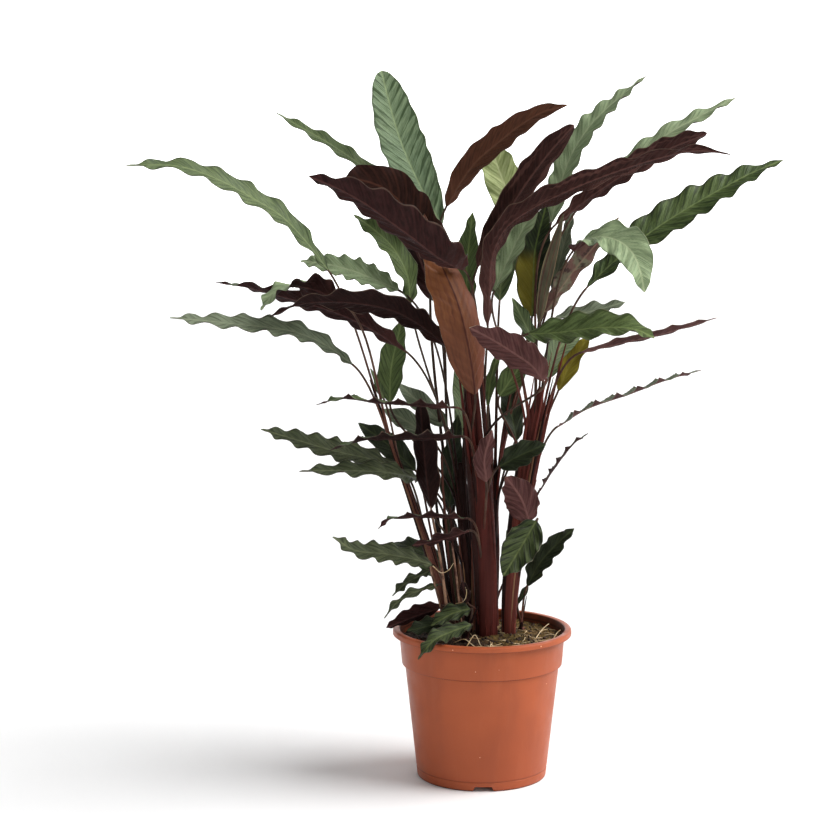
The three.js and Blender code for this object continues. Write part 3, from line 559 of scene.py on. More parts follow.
# ---- materials ----
class Value:
    """What a node of a material gives, so that sums can be written plainly."""

    def __init__(self, finish, socket):
        self.finish = finish
        self.socket = socket

    def __add__(self, other):
        return self.finish.math("ADD", self, other)

    def __sub__(self, other):
        return self.finish.math("SUBTRACT", self, other)

    def __rsub__(self, other):
        return self.finish.math("SUBTRACT", other, self)

    def __mul__(self, other):
        return self.finish.math("MULTIPLY", self, other)

    def __abs__(self):
        return self.finish.math("ABSOLUTE", self)

    def from_whole(self):
        """How far the value is from the nearest whole number."""
        return self.finish.math("PINGPONG", self, 0.5)


class Finish:
    """A material's nodes, made by short calls. Colours are given as 0 to 255."""

    def __init__(self, name, roughness, **constants):
        self.material = bpy.data.materials.new(name)
        self.material.use_nodes = True
        self.tree = self.material.node_tree
        self.inputs = self.tree.nodes["Principled BSDF"].inputs
        self.inputs["Roughness"].default_value = roughness
        for key, value in constants.items():
            self.inputs[key.replace("_", " ")].default_value = value

    def put(self, socket, value):
        if isinstance(value, Value):
            self.tree.links.new(value.socket, socket)
        else:
            socket.default_value = value

    def node(self, kind, inputs, output=0, **settings):
        """A new node's output. The inputs go by name or number."""
        node = self.tree.nodes.new("ShaderNode" + kind)
        for key, value in settings.items():
            setattr(node, key, value)
        for key, value in inputs.items():
            self.put(node.inputs[key], value)
        return Value(self, node.outputs[output])

    def math(self, kind, *values):
        return self.node("Math", dict(enumerate(values)), operation=kind)

    def number(self, name):
        return self.node("Attribute", {}, "Fac", attribute_name=name)

    def place(self, scale=(1, 1, 1)):
        return self.node("Mapping", {"Vector": self.node("TexCoord", {}, "Object"), "Scale": scale})

    def noise(self, scale, detail=3.0, stretch=(1, 1, 1), roughness=0.55):
        inputs = {"Vector": self.place(stretch), "Scale": scale, "Detail": detail, "Roughness": roughness}
        return self.node("TexNoise", inputs, "Fac")

    def streaks(self, across, along, scale=1.0, detail=2.0):
        """Noise in the plane of two numbers, for streaks that follow a leaf or a stalk."""
        plane = self.node("CombineXYZ", {"X": across, "Y": along})
        return self.node("TexNoise", {"Vector": plane, "Scale": scale, "Detail": detail}, "Fac")

    def step(self, value, low, high, to_low=0.0, to_high=1.0):
        inputs = dict(enumerate((value, low, high, to_low, to_high)))
        return self.node("MapRange", inputs, interpolation_type="SMOOTHSTEP")

    def blend(self, share, a, b):
        a, b = (colour if isinstance(colour, Value) else srgb(*colour) for colour in (a, b))
        return self.node("Mix", {0: share, 6: a, 7: b}, 2, data_type="RGBA")

    def over(self, body, colour, value, low, high, most=1.0):
        """The body with a colour laid over it, which comes in as the value goes from low to high."""
        return self.blend(self.step(value, low, high, 0.0, most), body, colour)

    def colour(self, value):
        self.put(self.inputs["Base Color"], value if isinstance(value, Value) else srgb(*value))

    def roughness(self, scale, detail, high, smoothest, roughest):
        uneven = self.noise(scale, detail)
        self.put(self.inputs["Roughness"], self.step(uneven, 0.3, high, smoothest, roughest))

    def bump(self, height, distance, strength):
        normal = self.node("Bump", {"Strength": strength, "Distance": distance, "Height": height})
        self.put(self.inputs["Normal"], normal)


def top_finish(name, light, dark, rib, contrast, turning=None):
    """An upper side: dark stripes between the side veins, a pale midrib, and a dark rim with a pale hem."""
    f = Finish(name, 0.5, Specular_IOR_Level=0.22)
    vein, offset, side = map(f.number, ("vein", "offset", "side"))
    wander = f.noise(32, 2) * 0.5 - 0.25
    uneven = f.streaks(vein, offset * 0.06, 0.9, 1.0)
    reach = f.number("lens") * f.step(uneven, 0.3, 0.65, 0.25, 1.15)
    stripe = f.step(reach - (vein + wander).from_whole(), -0.07, 0.06)
    streak = f.streaks(vein * 4.5, offset * 0.12, 1.0, 3.0)
    fine = f.step((vein * 5.0).from_whole(), 0.0, 0.3)
    body = f.over(light, rib, f.noise(12, 2), 0.35, 0.7, 0.3)
    body = f.over(body, dark, streak, 0.42, 0.72, 0.5)
    body = f.over(body, rib, streak, 0.5, 0.25, 0.4)
    body = f.blend((1.0 - fine) * 0.14, body, dark)
    body = f.blend(stripe * contrast, body, dark)
    if turning:
        lower_left = f.step(side, 0.3, 0.0) * f.step(f.number("along"), 0.62, 0.45)
        body = f.blend(lower_left * 0.9, body, turning)
    body = f.over(body, dark, abs(side), 0.88, 0.96, 0.65)
    body = f.over(body, TOP_HEM, abs(side), 0.965, 1.0, 0.55)
    f.colour(f.over(body, rib, offset, 1.4, 0.5, 0.7))
    f.roughness(70, 2, 0.7, 0.44, 0.62)
    f.bump(fine * 0.5 + f.noise(400, 2) * 0.6 + stripe * -0.8, 0.0005, 0.7)
    return f.material


def under_finish(name, ground, dark, rib, ridges=0.16, hem=0.0, painted_fold_highlights=0.0):
    """An underside: dark and velvety, with raised side veins, a redder midrib, a pale hem and painted
    highlights along long folds.
    """
    f = Finish(name, 0.62, Specular_IOR_Level=0.08, Sheen_Weight=0.02, Sheen_Roughness=0.4)
    vein, offset, side, along = map(f.number, ("vein", "offset", "side", "along"))
    ridge = f.step((f.noise(60, 2) * 0.25 + vein).from_whole(), 0.04, 0.26, 1.0, 0.0)
    finest = f.step((vein * 9.0).from_whole(), 0.05, 0.4)
    streak = f.streaks(vein * 3.5, offset * 0.1, 1.0, 3.0)
    body = f.over(ground, dark, streak, 0.3, 0.7)
    body = f.blend(finest * 0.06, body, rib)
    body = f.blend(ridge * ridges, body, rib)
    if painted_fold_highlights:
        # Lighter streaks along the leaf: painted highlights on lengthwise folds.
        body = f.over(body, rib, f.streaks(side * 3.2, along * 2.5), 0.5, 0.66, painted_fold_highlights)
    body = f.over(body, rib, along, 0.3, 0.0, 0.5)
    body = f.over(body, UNDER_HEM, abs(side), 0.93, 1.0, hem)
    f.colour(f.over(body, rib, offset, 1.7, 0.6, 0.7))
    f.roughness(90, 2, 0.7, 0.52, 0.7)
    f.bump(ridge * (2.5 * ridges) + finest * 0.25 + f.noise(500, 2) * 0.25, 0.0005, 0.7)
    return f.material


def backlit_amber_finish(name):
    """The back-lit leaf's underside: orange-brown, a painted glow of the light that shines through it, with
    wood-like streaks, and pinkish on the right.
    """
    f = Finish(name, 0.5, Specular_IOR_Level=0.15, Sheen_Weight=0.03, Sheen_Roughness=0.4)
    side, along = map(f.number, ("side", "along"))
    body = f.over((98, 57, 38), (112, 66, 36), f.noise(14, 2) * 0.5 + along - 0.25, 0.1, 0.75)
    grain = f.streaks(side * 7.0, along * 3.0, 1.0, 4.0)
    body = f.over(body, (62, 32, 22), grain, 0.44, 0.7, 0.55)
    body = f.over(body, (158, 104, 66), grain, 0.42, 0.24, 0.4)
    streak = f.streaks(f.number("vein") * 2.5, f.number("offset") * 0.1, 1.0, 3.0)
    body = f.over(body, (74, 38, 26), streak, 0.5, 0.75, 0.3)
    body = f.over(body, (150, 96, 82), side, -0.25, -0.9, 0.35)
    f.colour(f.over(body, (58, 24, 18), f.number("offset"), 1.8, 0.7, 0.85))
    f.bump(grain + f.noise(500, 2) * 0.25, 0.0004, 0.5)
    return f.material


def rolled_finish(name):
    """A rolled young leaf: dull grey-green, with brown lines along it."""
    f = Finish(name, 0.5, Specular_IOR_Level=0.2)
    side = f.number("side")
    wander = f.streaks(side, f.number("along") * 2.0) * 0.3 - 0.15
    body = f.over((78, 72, 52), (46, 43, 31), f.noise(60, 3, (1, 1, 0.2)), 0.4, 0.65)
    line = f.step(((side + wander) * 1.25 + 0.2).from_whole(), 0.05, 0.16, 0.9, 0.0)
    body = f.blend(line, body, (64, 32, 24))
    f.colour(f.over(body, (150, 132, 98), abs(side), 0.8, 1.0, 0.6))
    f.bump(f.noise(400, 2), 0.0003, 0.5)
    return f.material


def blotched_finish(name):
    """An ageing leaf: greyish brown with grey-green blotches."""
    f = Finish(name, 0.55, Specular_IOR_Level=0.2)
    body = f.over((96, 68, 60), (104, 100, 80), f.noise(62, 4), 0.44, 0.58)
    body = f.over(body, (54, 38, 33), f.noise(110, 4), 0.52, 0.68)
    f.colour(f.over(body, (134, 108, 90), f.number("offset"), 1.5, 0.5, 0.6))
    f.bump(f.noise(400, 3), 0.0004, 0.6)
    return f.material


def rim_finish(name, light, dark):
    f = Finish(name, 0.5, Specular_IOR_Level=0.35)
    f.colour(f.over(light, dark, f.noise(120, 2), 0.35, 0.65))
    return f.material


def stalk_finish(name, light, dark):
    """Stalks and sheaths: ribs and streaks along them, each strand of its own tone, and grey-brown above."""
    f = Finish(name, 0.44, Specular_IOR_Level=0.1)
    ridge = f.step((f.number("round") * 0.8 + f.noise(16, 2)).from_whole(), 0.08, 0.42)
    streak = f.step(f.noise(120, 3, (1, 1, 0.04)), 0.32, 0.68)
    body = f.blend(streak * 0.45 + f.number("tone") * 0.6, dark, light)
    body = f.blend(ridge * 0.4, body, dark)
    bare = f.blend(streak, (58, 44, 37), (100, 80, 66))
    f.colour(f.over(body, bare, f.number("free"), 0.1, 0.75, 0.8))
    f.roughness(150, 2, 0.7, 0.38, 0.56)
    f.bump(f.noise(700, 2) * 0.3 - ridge, 0.0004, 0.6)
    return f.material


def pot_finish(name):
    """Moulded terracotta-coloured plastic: cloudy and scuffed, with painted shade on the inner wall under the
    lip and painted shade lines round it.
    """
    f = Finish(name, 0.46, Specular_IOR_Level=0.2)
    body = f.over((174, 88, 53), (156, 78, 48), f.noise(7, 3), 0.3, 0.7)
    body = f.over(body, (146, 74, 48), f.noise(24, 4, (1, 1, 0.3), 0.6), 0.48, 0.7, 0.45)
    body = f.over(body, (196, 116, 84), f.noise(60, 3, (1, 1, 0.12)), 0.5, 0.8, 0.12)
    body = f.over(body, (128, 66, 46), f.noise(45, 5, (1, 1, 1.6), 0.75), 0.66, 0.74, 0.18)
    x, y, height = (f.node("SeparateXYZ", {0: f.place()}, axis) for axis in "XYZ")
    radius = f.math("SQRT", x * x + y * y)
    slope = (POT["collar_top"] - POT["collar_bottom"]) / (POT["height"] - POT["lip_height"] - POT["ledge"])
    inner_foot = (inner_radius(POT["ledge"]) - slope * POT["ledge"]) * MM
    # Painted shade, in blotches, on the inner wall between the soil and the lip.
    on_inner_wall = f.step(radius - height * slope, inner_foot + 0.0002, inner_foot + 0.0014, 1.0, 0.0)
    inner_wall_shade = on_inner_wall * f.step(height, (POT["ledge"] + 12) * MM, (POT["ledge"] + 20) * MM)
    body = f.blend(inner_wall_shade * f.step(f.noise(40, 3), 0.2, 0.7, 0.5, 0.85), body, (72, 42, 29))
    # Painted shade lines under the lip and the ledge, in the groove and at the foot's edge on the floor.
    for line, reach, share in POT_PAINTED_SHADE_LINES:
        away = abs(height - line * MM)
        body = f.over(body, (70, 32, 20), away, reach * MM, 0.2 * reach * MM, share)
    f.colour(body)
    f.roughness(38, 4, 0.75, 0.36, 0.52)
    f.bump(f.noise(900, 2) + f.noise(60, 3) * 0.6, 0.0002, 0.35)
    return f.material


def soil_finish(name):
    """Moist peat, dark and light in patches, with golden-brown moss on the right."""
    f = Finish(name, 0.9, Specular_IOR_Level=0.2)
    peat = f.over((26, 17, 12), (64, 44, 28), f.noise(260, 4), 0.35, 0.65)
    moss = f.over((32, 23, 11), (112, 85, 44), f.noise(330, 4), 0.35, 0.65)
    moss = f.over(moss, (80, 72, 32), f.noise(34, 3), 0.46, 0.68, 0.35)
    f.colour(f.blend(f.number("moss"), peat, moss))
    f.bump(f.noise(600, 4), 0.0012, 0.9)
    return f.material


def fibre_finish(name, light, dark):
    f = Finish(name, 0.7, Specular_IOR_Level=0.3)
    f.colour(f.over(light, dark, f.noise(140, 3), 0.35, 0.65))
    f.bump(f.noise(900, 2), 0.0002, 0.5)
    return f.material


def finishes(kind, make, table):
    return {look: make(kind + "_" + look, *row) for look, row in table.items()}


TOP_HEM = (150, 146, 116)
UNDER_HEM = (142, 116, 98)
# Upper sides: ground, dark stripes, midrib, strength of the stripes and, on one leaf, what it turns to.
TOP_FINISHES = finishes("top", top_finish, {
    "green": ((92, 108, 70), (48, 61, 36), (128, 141, 94), 0.65),
    "grey": ((116, 136, 104), (52, 70, 40), (146, 162, 118), 0.85),
    "pale": ((152, 170, 130), (96, 114, 80), (180, 192, 150), 0.4),
    "fresh": ((92, 110, 64), (48, 60, 30), (132, 148, 90), 0.5),
    "forest": ((78, 96, 54), (30, 41, 20), (128, 144, 88), 0.65),
    "muted": ((116, 127, 102), (62, 71, 52), (142, 150, 122), 0.55),
    "dusky": ((74, 82, 56), (36, 42, 26), (112, 118, 84), 0.6),
    "murky": ((58, 70, 38), (20, 26, 12), (98, 108, 62), 0.8),
    # The deep finish is darkened further as painted shade for leaves that stand in shade.
    "deep": ((44, 53, 32), (22, 28, 15), (72, 82, 50), 0.6),
    # The lime finish is a pale young leaf's green, brightened further as a painted glow of light shining
    # through it.
    "lime_backlit": ((178, 188, 130), (124, 138, 78), (206, 212, 160), 0.7),
    "olive": ((150, 136, 36), (108, 96, 24), (168, 154, 70), 0.4),
    "turning": ((30, 40, 22), (16, 22, 10), (104, 122, 62), 0.5, (118, 108, 22)),
})
TOP_FINISHES["rolled"] = rolled_finish("top_rolled")
TOP_FINISHES["blotched"] = blotched_finish("top_blotched")
# Undersides: ground, dark streaks, midrib, and the strength of the ridges, the hem and the painted fold
# highlights.
UNDER_FINISHES = finishes("under", under_finish, {
    "maroon": ((49, 25, 24), (29, 14, 13), (84, 53, 50), 0.11, 0.25),
    "plum": ((58, 33, 30), (35, 19, 17), (94, 62, 57), 0.1, 0.4, 0.6),
    "bark": ((50, 28, 23), (31, 16, 13), (88, 52, 41), 0.24),
    # The black underside is partly the leaf's own maroon, partly painted shade.
    "black": ((36, 18, 17), (21, 10, 9), (60, 36, 33), 0.14, 0.45),
    "brown": ((92, 57, 42), (67, 41, 31), (108, 70, 54), 0.12),
    "mauve": ((84, 52, 51), (59, 35, 33), (116, 80, 75), 0.26),
    "dusty": ((88, 58, 56), (58, 36, 35), (120, 86, 80)),
    # The lime underside is brightened further as a painted glow of light shining through the leaf.
    "lime_backlit": ((170, 178, 130), (130, 140, 92), (200, 206, 160)),
})
UNDER_FINISHES["amber"] = backlit_amber_finish("under_amber_painted_backlight")
UNDER_FINISHES["rolled"] = rolled_finish("under_rolled")
UNDER_FINISHES["blotched"] = blotched_finish("under_blotched")
RIMS = finishes("rim", rim_finish, {
    "dark": ((66, 56, 42), (40, 30, 26)),
    "pale": ((176, 166, 140), (110, 88, 76)),
})
# The stalks of the bundles, of dry sheaths and of green ones: the light and the dark tone.
STALKS = finishes("stalk", stalk_finish, {
    "front": ((104, 46, 39), (44, 16, 13)),
    "right": ((138, 70, 59), (60, 25, 21)),
    "left": ((134, 84, 70), (54, 28, 23)),
    # The dark finish is near-black: partly the stalks' own maroon, partly painted shade for shaded bundles
    # and the cores.
    "dark": ((58, 30, 26), (20, 9, 8)),
    "straw": ((172, 132, 98), (86, 54, 40)),
    "green": ((96, 92, 62), (44, 40, 28)),
})


# ---- leaves ----
def look_of(name, table, usual):
    plain = name.removeprefix("leaf_")
    for look, names in table.items():
        if plain in names.split():
            return look
    return usual


def half_width(leaf, t):
    rise = BLADE["rise"]
    fall = BLADE["blunt_fall"] if leaf.get("blunt") else BLADE["fall"]
    widest = rise**rise * fall**fall / (rise + fall) ** (rise + fall)
    outline = t**rise * (1 - t) ** fall / widest
    return np.maximum(outline * leaf["width"] / 2, mix(BLADE["base_half"], BLADE["tip_half"], t))


def turn_at(turns, t):
    place = t * (len(turns) - 1)
    k = np.minimum(place.astype(int), max(len(turns) - 2, 0))
    near = np.array(turns, float)[k]
    far = np.array(turns, float)[np.minimum(k + 1, len(turns) - 1)]
    return np.radians(mix(near, far, smooth(place - k)))


def blade_frame(leaf, t):
    """Place, upper side and left-to-right direction of the blade at the shares t of its length."""
    along = leaf["rib"].tangent(t)
    front = np.array([0.0, -1.0, 0.0])
    front = unit(front - along * (along @ front)[:, None])
    level = np.cross(along, front) * leaf["hand"]
    turn = turn_at(leaf["turns"], t)[:, None]
    upper = front * np.cos(turn) + level * np.sin(turn)
    return leaf["rib"].point(t), upper, np.cross(along, upper)


# Columns of points across a blade: shares of the half-width from the midrib to the edge.
HALF_COLUMNS = [0, 0.05, 0.12, 0.22, 0.34, 0.46, 0.58, 0.7, 0.8, 0.89, 0.96, 1]
COLUMNS = np.array([-s for s in reversed(HALF_COLUMNS[1:])] + HALF_COLUMNS)

# Blades held edge-on to the front, whose edges rise in sharp teeth with hollows between them.
CUSPED_TURNS = range(95, 120)


def cusped(phase, s):
    """A wave with sharp crests and round troughs, half a wave apart on the two edges."""
    on_right = 1 - 2 * np.abs(np.sin((phase - np.pi / 2) / 2)) ** BLADE["cusp"]
    on_left = 1 - 2 * np.abs(np.sin((phase + np.pi / 2) / 2)) ** BLADE["cusp"]
    return np.where(s > 0, on_right, -on_left)


def shell_faces(count, wide, slots):
    """Faces and slots of two grids of points, the upper side and the lower, closed round their rim."""
    top_slot, under_slot, rim_slot = slots
    under = (count + 1) * wide
    faces, slot = [], []
    for k in range(count):
        for a in range(k * wide, k * wide + wide - 1):
            faces.append((a, a + 1, a + wide + 1, a + wide))
            faces.append((under + a, under + a + wide, under + a + wide + 1, under + a + 1))
            slot += [top_slot, under_slot]
        left, right = k * wide, k * wide + wide - 1
        faces.append((left + wide, under + left + wide, under + left, left))
        faces.append((right, under + right, under + right + wide, right + wide))
        slot += [rim_slot, rim_slot]
    last = count * wide
    for c in range(wide - 1):
        faces.append((c, under + c, under + c + 1, c + 1))
        faces.append((last + c, last + c + 1, under + last + c + 1, under + last + c))
        slot += [rim_slot, rim_slot]
    return faces, slot


def add_blade(shape, leaf, slots):
    """One blade as a thin closed shell: its edges swing up and down, and pleats run along the side veins."""
    draw = random.Random(leaf["name"])
    length = leaf["rib"].length
    count = max(int(length / BLADE["station"]), BLADE["per_wave"] * leaf["waves"])
    t = np.linspace(0, 1, count + 1)
    point, upper, across = (v[:, None, :] for v in blade_frame(leaf, t))
    half = half_width(leaf, t)[:, None]
    fold = math.radians(leaf.get("fold", BLADE["fold"]))
    ends = np.clip(np.minimum(t, 1 - t) * BLADE["calm_end"], 0, 1)[:, None]
    wave = np.minimum(leaf.get("wave", BLADE["wave"]), half * BLADE["most_wave"]) * ends

    # Along the blade a place is given by its run, and across it by the share s of the half-width.
    s = COLUMNS[None, :]
    out = np.abs(s)
    offset = out * half
    run = (t * length)[:, None]
    narrowness = (BLADE["broad"] - leaf["width"]) / (BLADE["broad"] - BLADE["narrow"])
    slant = BLADE["slant"] + BLADE["more_slant"] * min(max(narrowness, 0), 1)
    phase = 2 * np.pi * leaf["waves"] * ((run + (half - offset) * BLADE["slant"] * 0.7) / length)
    swing = cusped(phase, s) if leaf["turns"][0] in CUSPED_TURNS else np.sin(phase)
    uneven = 0.6 * np.sin(phase * 0.37 + draw.uniform(0, 6))
    ripple = np.where(s > 0, np.sin(phase * 1.9 + uneven), np.sin(phase * 1.7 - uneven))
    spacing = BLADE["vein_spacing"] + BLADE["spacing_share"] * leaf["width"]
    vein = (run - offset * slant) / spacing + draw.uniform(0, 1) + np.where(s < 0, 0.5, 0)
    pleat = np.cos(2 * np.pi * vein) * np.sin(np.pi * np.clip(out, 0, 1)) ** 0.7
    # The higher the power, the closer to the edge it happens.
    lift = (out**1.1 - 0.5) * half * math.sin(fold)
    lift = lift + np.sign(s) * out**1.3 * wave * swing
    lift = lift + out**2.2 * BLADE["ripple"] * wave * ripple
    lift = lift + pleat * np.minimum(BLADE["pleat"], half * BLADE["pleat_share"]) * ends
    scallop = 1 + BLADE["scallop"] * out**2 * np.sin(phase * 1.3 + uneven) * ends
    sideways = s * half * math.cos(fold) * scallop
    middle = point + across * sideways[..., None] + upper * lift[..., None]

    thin = BLADE["thickness"] * (1 - BLADE["rim_thinning"] * out**3) / 2
    midrib = BLADE["midrib"] * (1 - BLADE["midrib_thinning"] * t[:, None])
    midrib = midrib * np.exp(-((offset / BLADE["midrib_half"]) ** 2))
    above = middle + upper * thin[..., None]
    below = middle - upper * (thin + midrib)[..., None]
    points = np.concatenate([above.reshape(-1, 3), below.reshape(-1, 3)])

    # The dark stripes are as wide as the lens says: they widen from the midrib, and once more at the rim.
    lens = 0.2 * np.clip((out - 0.08) / 0.5, 0, 1) ** 0.8 + 0.16 * np.clip((out - 0.8) / 0.2, 0, 1)
    numbers = {"vein": vein + 40, "side": s, "offset": offset, "lens": lens, "along": run / length}
    numbers = {key: np.tile((grid * np.ones_like(offset)).reshape(-1), 2) for key, grid in numbers.items()}
    shape.add(points, *shell_faces(count, len(COLUMNS), slots), **numbers)


def described(shoot, row):
    name, width, waves, turns, points, *extra = row
    return {
        "name": name,
        "shoot": shoot,
        "width": width,
        "waves": waves,
        "turns": turns,
        "fused": not name.startswith("leaf_"),
        "hand": 1 if points[-1][0] < points[0][0] else -1,
        "rib": Rib(points),
        **dict(*extra),
    }


def leaf_materials(leaf):
    top = look_of(leaf["name"], TOPS, "green")
    under = look_of(leaf["name"], UNDERS, "maroon")
    return [TOP_FINISHES[top], UNDER_FINISHES[under], RIMS["pale" if under in PALE_RIMMED else "dark"]]


# ---- shoots ----
def sheath_line(shoot):
    start = np.array([*shoot["foot"], CLEAR_OF_SOIL])
    end = np.array(shoot["end"], float)
    handle = np.array([start[0], start[1], mix(start[2], end[2], shoot.get("upright", SHEATH["upright"]))])
    return Bezier(start, handle, end)


def sheath_size(shoot, t):
    foot, end = (np.array(shoot[part], float) for part in ("foot_size", "end_size"))
    return mix(foot, end, np.asarray(t)[..., None])


def on_sheath(shoot, t, angles, hug):
    """Places round a shoot's sheath: shares t of its height, angles round it and shares hug of its size."""
    size = sheath_size(shoot, t) * np.broadcast_to(hug, t.shape)[:, None]
    return sheath_line(shoot).point(t) + oval(size[:, 0], size[:, 1], angles)


def add_core(shape, shoot, slot):
    """The inside of the bundle of sheaths: an oval column with shallow grooves, seen between the strands."""
    sides, steps = SHEATH["sides"], SHEATH["steps"]
    line = sheath_line(shoot)
    end = np.array(shoot["end_size"], float)
    turn = round_angles(sides)
    lobes = max(4, round(shoot["foot_size"][0] * SHEATH["lobes"]))
    rings = []

    def ring(centre, size, height):
        grooves = np.abs(np.cos((turn + 0.5 * height) * lobes / 2)) ** 0.5
        radius = SHEATH["core"] * mix(1, SHEATH["core_top"], min(height, 1) ** 2)
        radius = radius * (1 - SHEATH["groove"] + SHEATH["groove"] * grooves)
        rings.append(centre + oval(size[0] * radius, size[1] * radius, turn))

    ring(np.array([*shoot["foot"], SOIL["top"] - HOLE_DEPTH]), np.array(shoot["foot_size"], float), 0)
    for t in np.linspace(0, 1, steps + 1):
        ring(line.point(t)[0], sheath_size(shoot, t), t)
    for t in np.linspace(0, 1, SHEATH["tip_rings"] + 1)[1:]:
        past = line.point(1)[0] + line.tangent(1)[0] * SHEATH["tip"] * t
        ring(past, end * mix(1, SHEATH["tip_share"], t), 1 + 0.1 * t)
    faces = loft_faces(len(rings), sides)
    # The core takes the dark end of its finish: painted shade in the gaps between the strands.
    shape.add(np.vstack(rings), faces, slot, round=np.tile(turn * 4, len(rings)), tone=0.1)


def add_band(shape, path, across, wide, deep, sides, slot, **numbers):
    """A strand along the path, of half-sizes `wide` and `deep`, that keeps its sides from twisting."""
    tangents = unit(np.gradient(path, axis=0))
    turn = round_angles(sides)
    rings, rounds = [], []
    for centre, tangent, half_wide, half_deep in zip(path, tangents, wide, deep):
        across = unit(across - tangent * (across @ tangent))
        outward = np.cross(tangent, across)
        channel = 1 - SHEATH["channel"] * np.maximum(0, np.sin(turn + 1.1)) ** 4
        rings.append(centre + across * (half_wide * np.cos(turn))[:, None]
                     + outward * (half_deep * channel * np.sin(turn))[:, None])
        rounds.append(half_wide * np.cos(turn))
    shape.add(np.vstack(rings), loft_faces(len(rings), sides), slot, round=np.concatenate(rounds), **numbers)


def add_tube(shape, path, radii, sides, slot=0):
    any_side = np.array([1.0, 0.31, 0.17])
    add_band(shape, path, any_side, radii, radii, sides, slot)


def add_stem(shape, points, half, steps, narrowing, tip, sides, slot=0):
    """A tube along a spline, which narrows a little and then ends in a point."""
    widths = half * np.append(np.linspace(1, narrowing, steps - 1), tip)
    add_tube(shape, Rib(points).point(np.linspace(0, 1, steps)), widths, sides, slot)


def add_sheath_leaf(shape, shoot, angle, top, wide, slot, draw):
    """One dry or outer sheath: a flat strand that lies on the bundle and ends in a point."""
    t = np.linspace(0, top, SHEATH["steps"])
    angles = angle + draw.uniform(-0.3, 0.3) * t
    path = on_sheath(shoot, t, angles, SHEATH["hug"] + SHEATH["lift"] * (t / top) ** 8)
    path[0, 2] = SOIL["top"] - STRAND_DEPTH
    taper = np.clip((top - t) / SHEATH["point"], 0.06, 1) ** 0.7
    foot_wide, foot_deep = shoot["foot_size"]
    across = unit(np.array([-math.sin(angle) * foot_wide, math.cos(angle) * foot_deep, 0]))
    deep = np.full(len(t), min(SHEATH["strand"], SHEATH["strand_share"] * foot_deep)) * np.sqrt(taper)
    tone = draw.uniform(0, 1)
    add_band(shape, path, across, wide * taper, deep, SHEATH["strand_sides"], slot, tone=tone)


def petiole_line(leaf, shoot):
    """The free part of a leaf's stalk, the share of the bundle's height where it leaves, and its side."""
    line = sheath_line(shoot)
    along = leaf["rib"].tangent(0)[0]
    end = leaf["rib"].point(0)[0]
    share = (end[2] - PETIOLE["climb"] - CLEAR_OF_SOIL) / (shoot["end"][2] - CLEAR_OF_SOIL)
    share = min(max(share, PETIOLE["lowest"]), PETIOLE["highest"])
    start = line.point(share)[0]
    reach = np.linalg.norm(end - start)
    lean = np.clip((end - start) / (reach * PETIOLE["full_lean"]), -1, 1)
    side, depth = leaf.get("root_side", PETIOLE["side"] * lean[:2])
    start = start + np.array([side * shoot["end_size"][0], depth * shoot["end_size"][1], 0])
    up = line.tangent(share)[0]
    meeting = end - along * reach * PETIOLE["approach"]
    return Bezier(start, start + up * reach * PETIOLE["rise"], meeting, end), share, (side, depth)


def stalk_path(leaf, shoot, draw):
    """A leaf's stalk from the soil: down along the bundle as a sheath, and free from there to the blade."""
    curve, share, (side, depth) = petiole_line(leaf, shoot)
    low = np.linspace(0, share, PETIOLE["steps"], endpoint=False)
    climb = low / share
    angles = math.atan2(depth, side) + draw.uniform(-1, 1) * (1 - climb)
    hugging = on_sheath(shoot, low, angles, PETIOLE["hug"])
    leaving = sheath_line(shoot).point(low) + np.array([side, depth, 0]) * (*shoot["end_size"], 0)
    bundled = mix(hugging, leaving, smooth(climb)[:, None])
    bundled[0, 2] = SOIL["top"] - STRAND_DEPTH
    return bundled, curve.point(np.linspace(0, 1, PETIOLE["steps"] + 1))


def add_stalk(shape, leaf, shoot, slot, draw):
    bundled, free = stalk_path(leaf, shoot, draw)
    root = PETIOLE["root"] + PETIOLE["root_share"] * leaf["width"]
    thinning = np.linspace(0, 1, len(free)) ** PETIOLE["thinning"]
    wide, deep = (np.concatenate([np.full(len(bundled), size), mix(size, PETIOLE["end"], thinning)])
                  for size in (root, root * PETIOLE["flat"]))
    around = bundled[len(bundled) // 2] - sheath_line(shoot).point(0.4)[0]
    across = unit(np.array([-around[1], around[0], 0.001]))
    bare = np.repeat(np.concatenate([np.zeros(len(bundled)), np.linspace(0, 1, len(free))]), PETIOLE["sides"])
    path = np.vstack([bundled, free])
    add_band(shape, path, across, wide, deep, PETIOLE["sides"], slot, tone=draw.uniform(0, 1), free=bare)
    return free, wide[len(bundled):]


def add_hairs(shape, path, radii, draw):
    """Short fine hairs that stand out from a stalk."""
    for _ in range(int(np.linalg.norm(np.diff(path, axis=0), axis=1).sum() / HAIRS["spacing"])):
        k = draw.randrange(len(path) - 1)
        share = draw.uniform(0, 1)
        along = unit(path[k + 1] - path[k])
        outward = unit(np.cross(along, [draw.uniform(-1, 1) for _ in range(3)]))
        root = mix(path[k], path[k + 1], share) + outward * radii[k] * 0.6
        tip = root + outward * (radii[k] * 0.4 + HAIRS["length"] * draw.uniform(0.5, 1)) + along * 0.4
        sideways = np.cross(outward, along)
        base = [root + HAIRS["radius"] * (along * math.cos(a) + sideways * math.sin(a))
                for a in (0, 2.1, 4.2)]
        shape.add(np.array([*base, tip]), [(2, 1, 0), (0, 1, 3), (1, 2, 3), (2, 0, 3)], 0)


def finish_fibres(shape, name, slot, finish, light, dark):
    finish_piece(shape.object(name, [fibre_finish(finish, light, dark)]), slot)


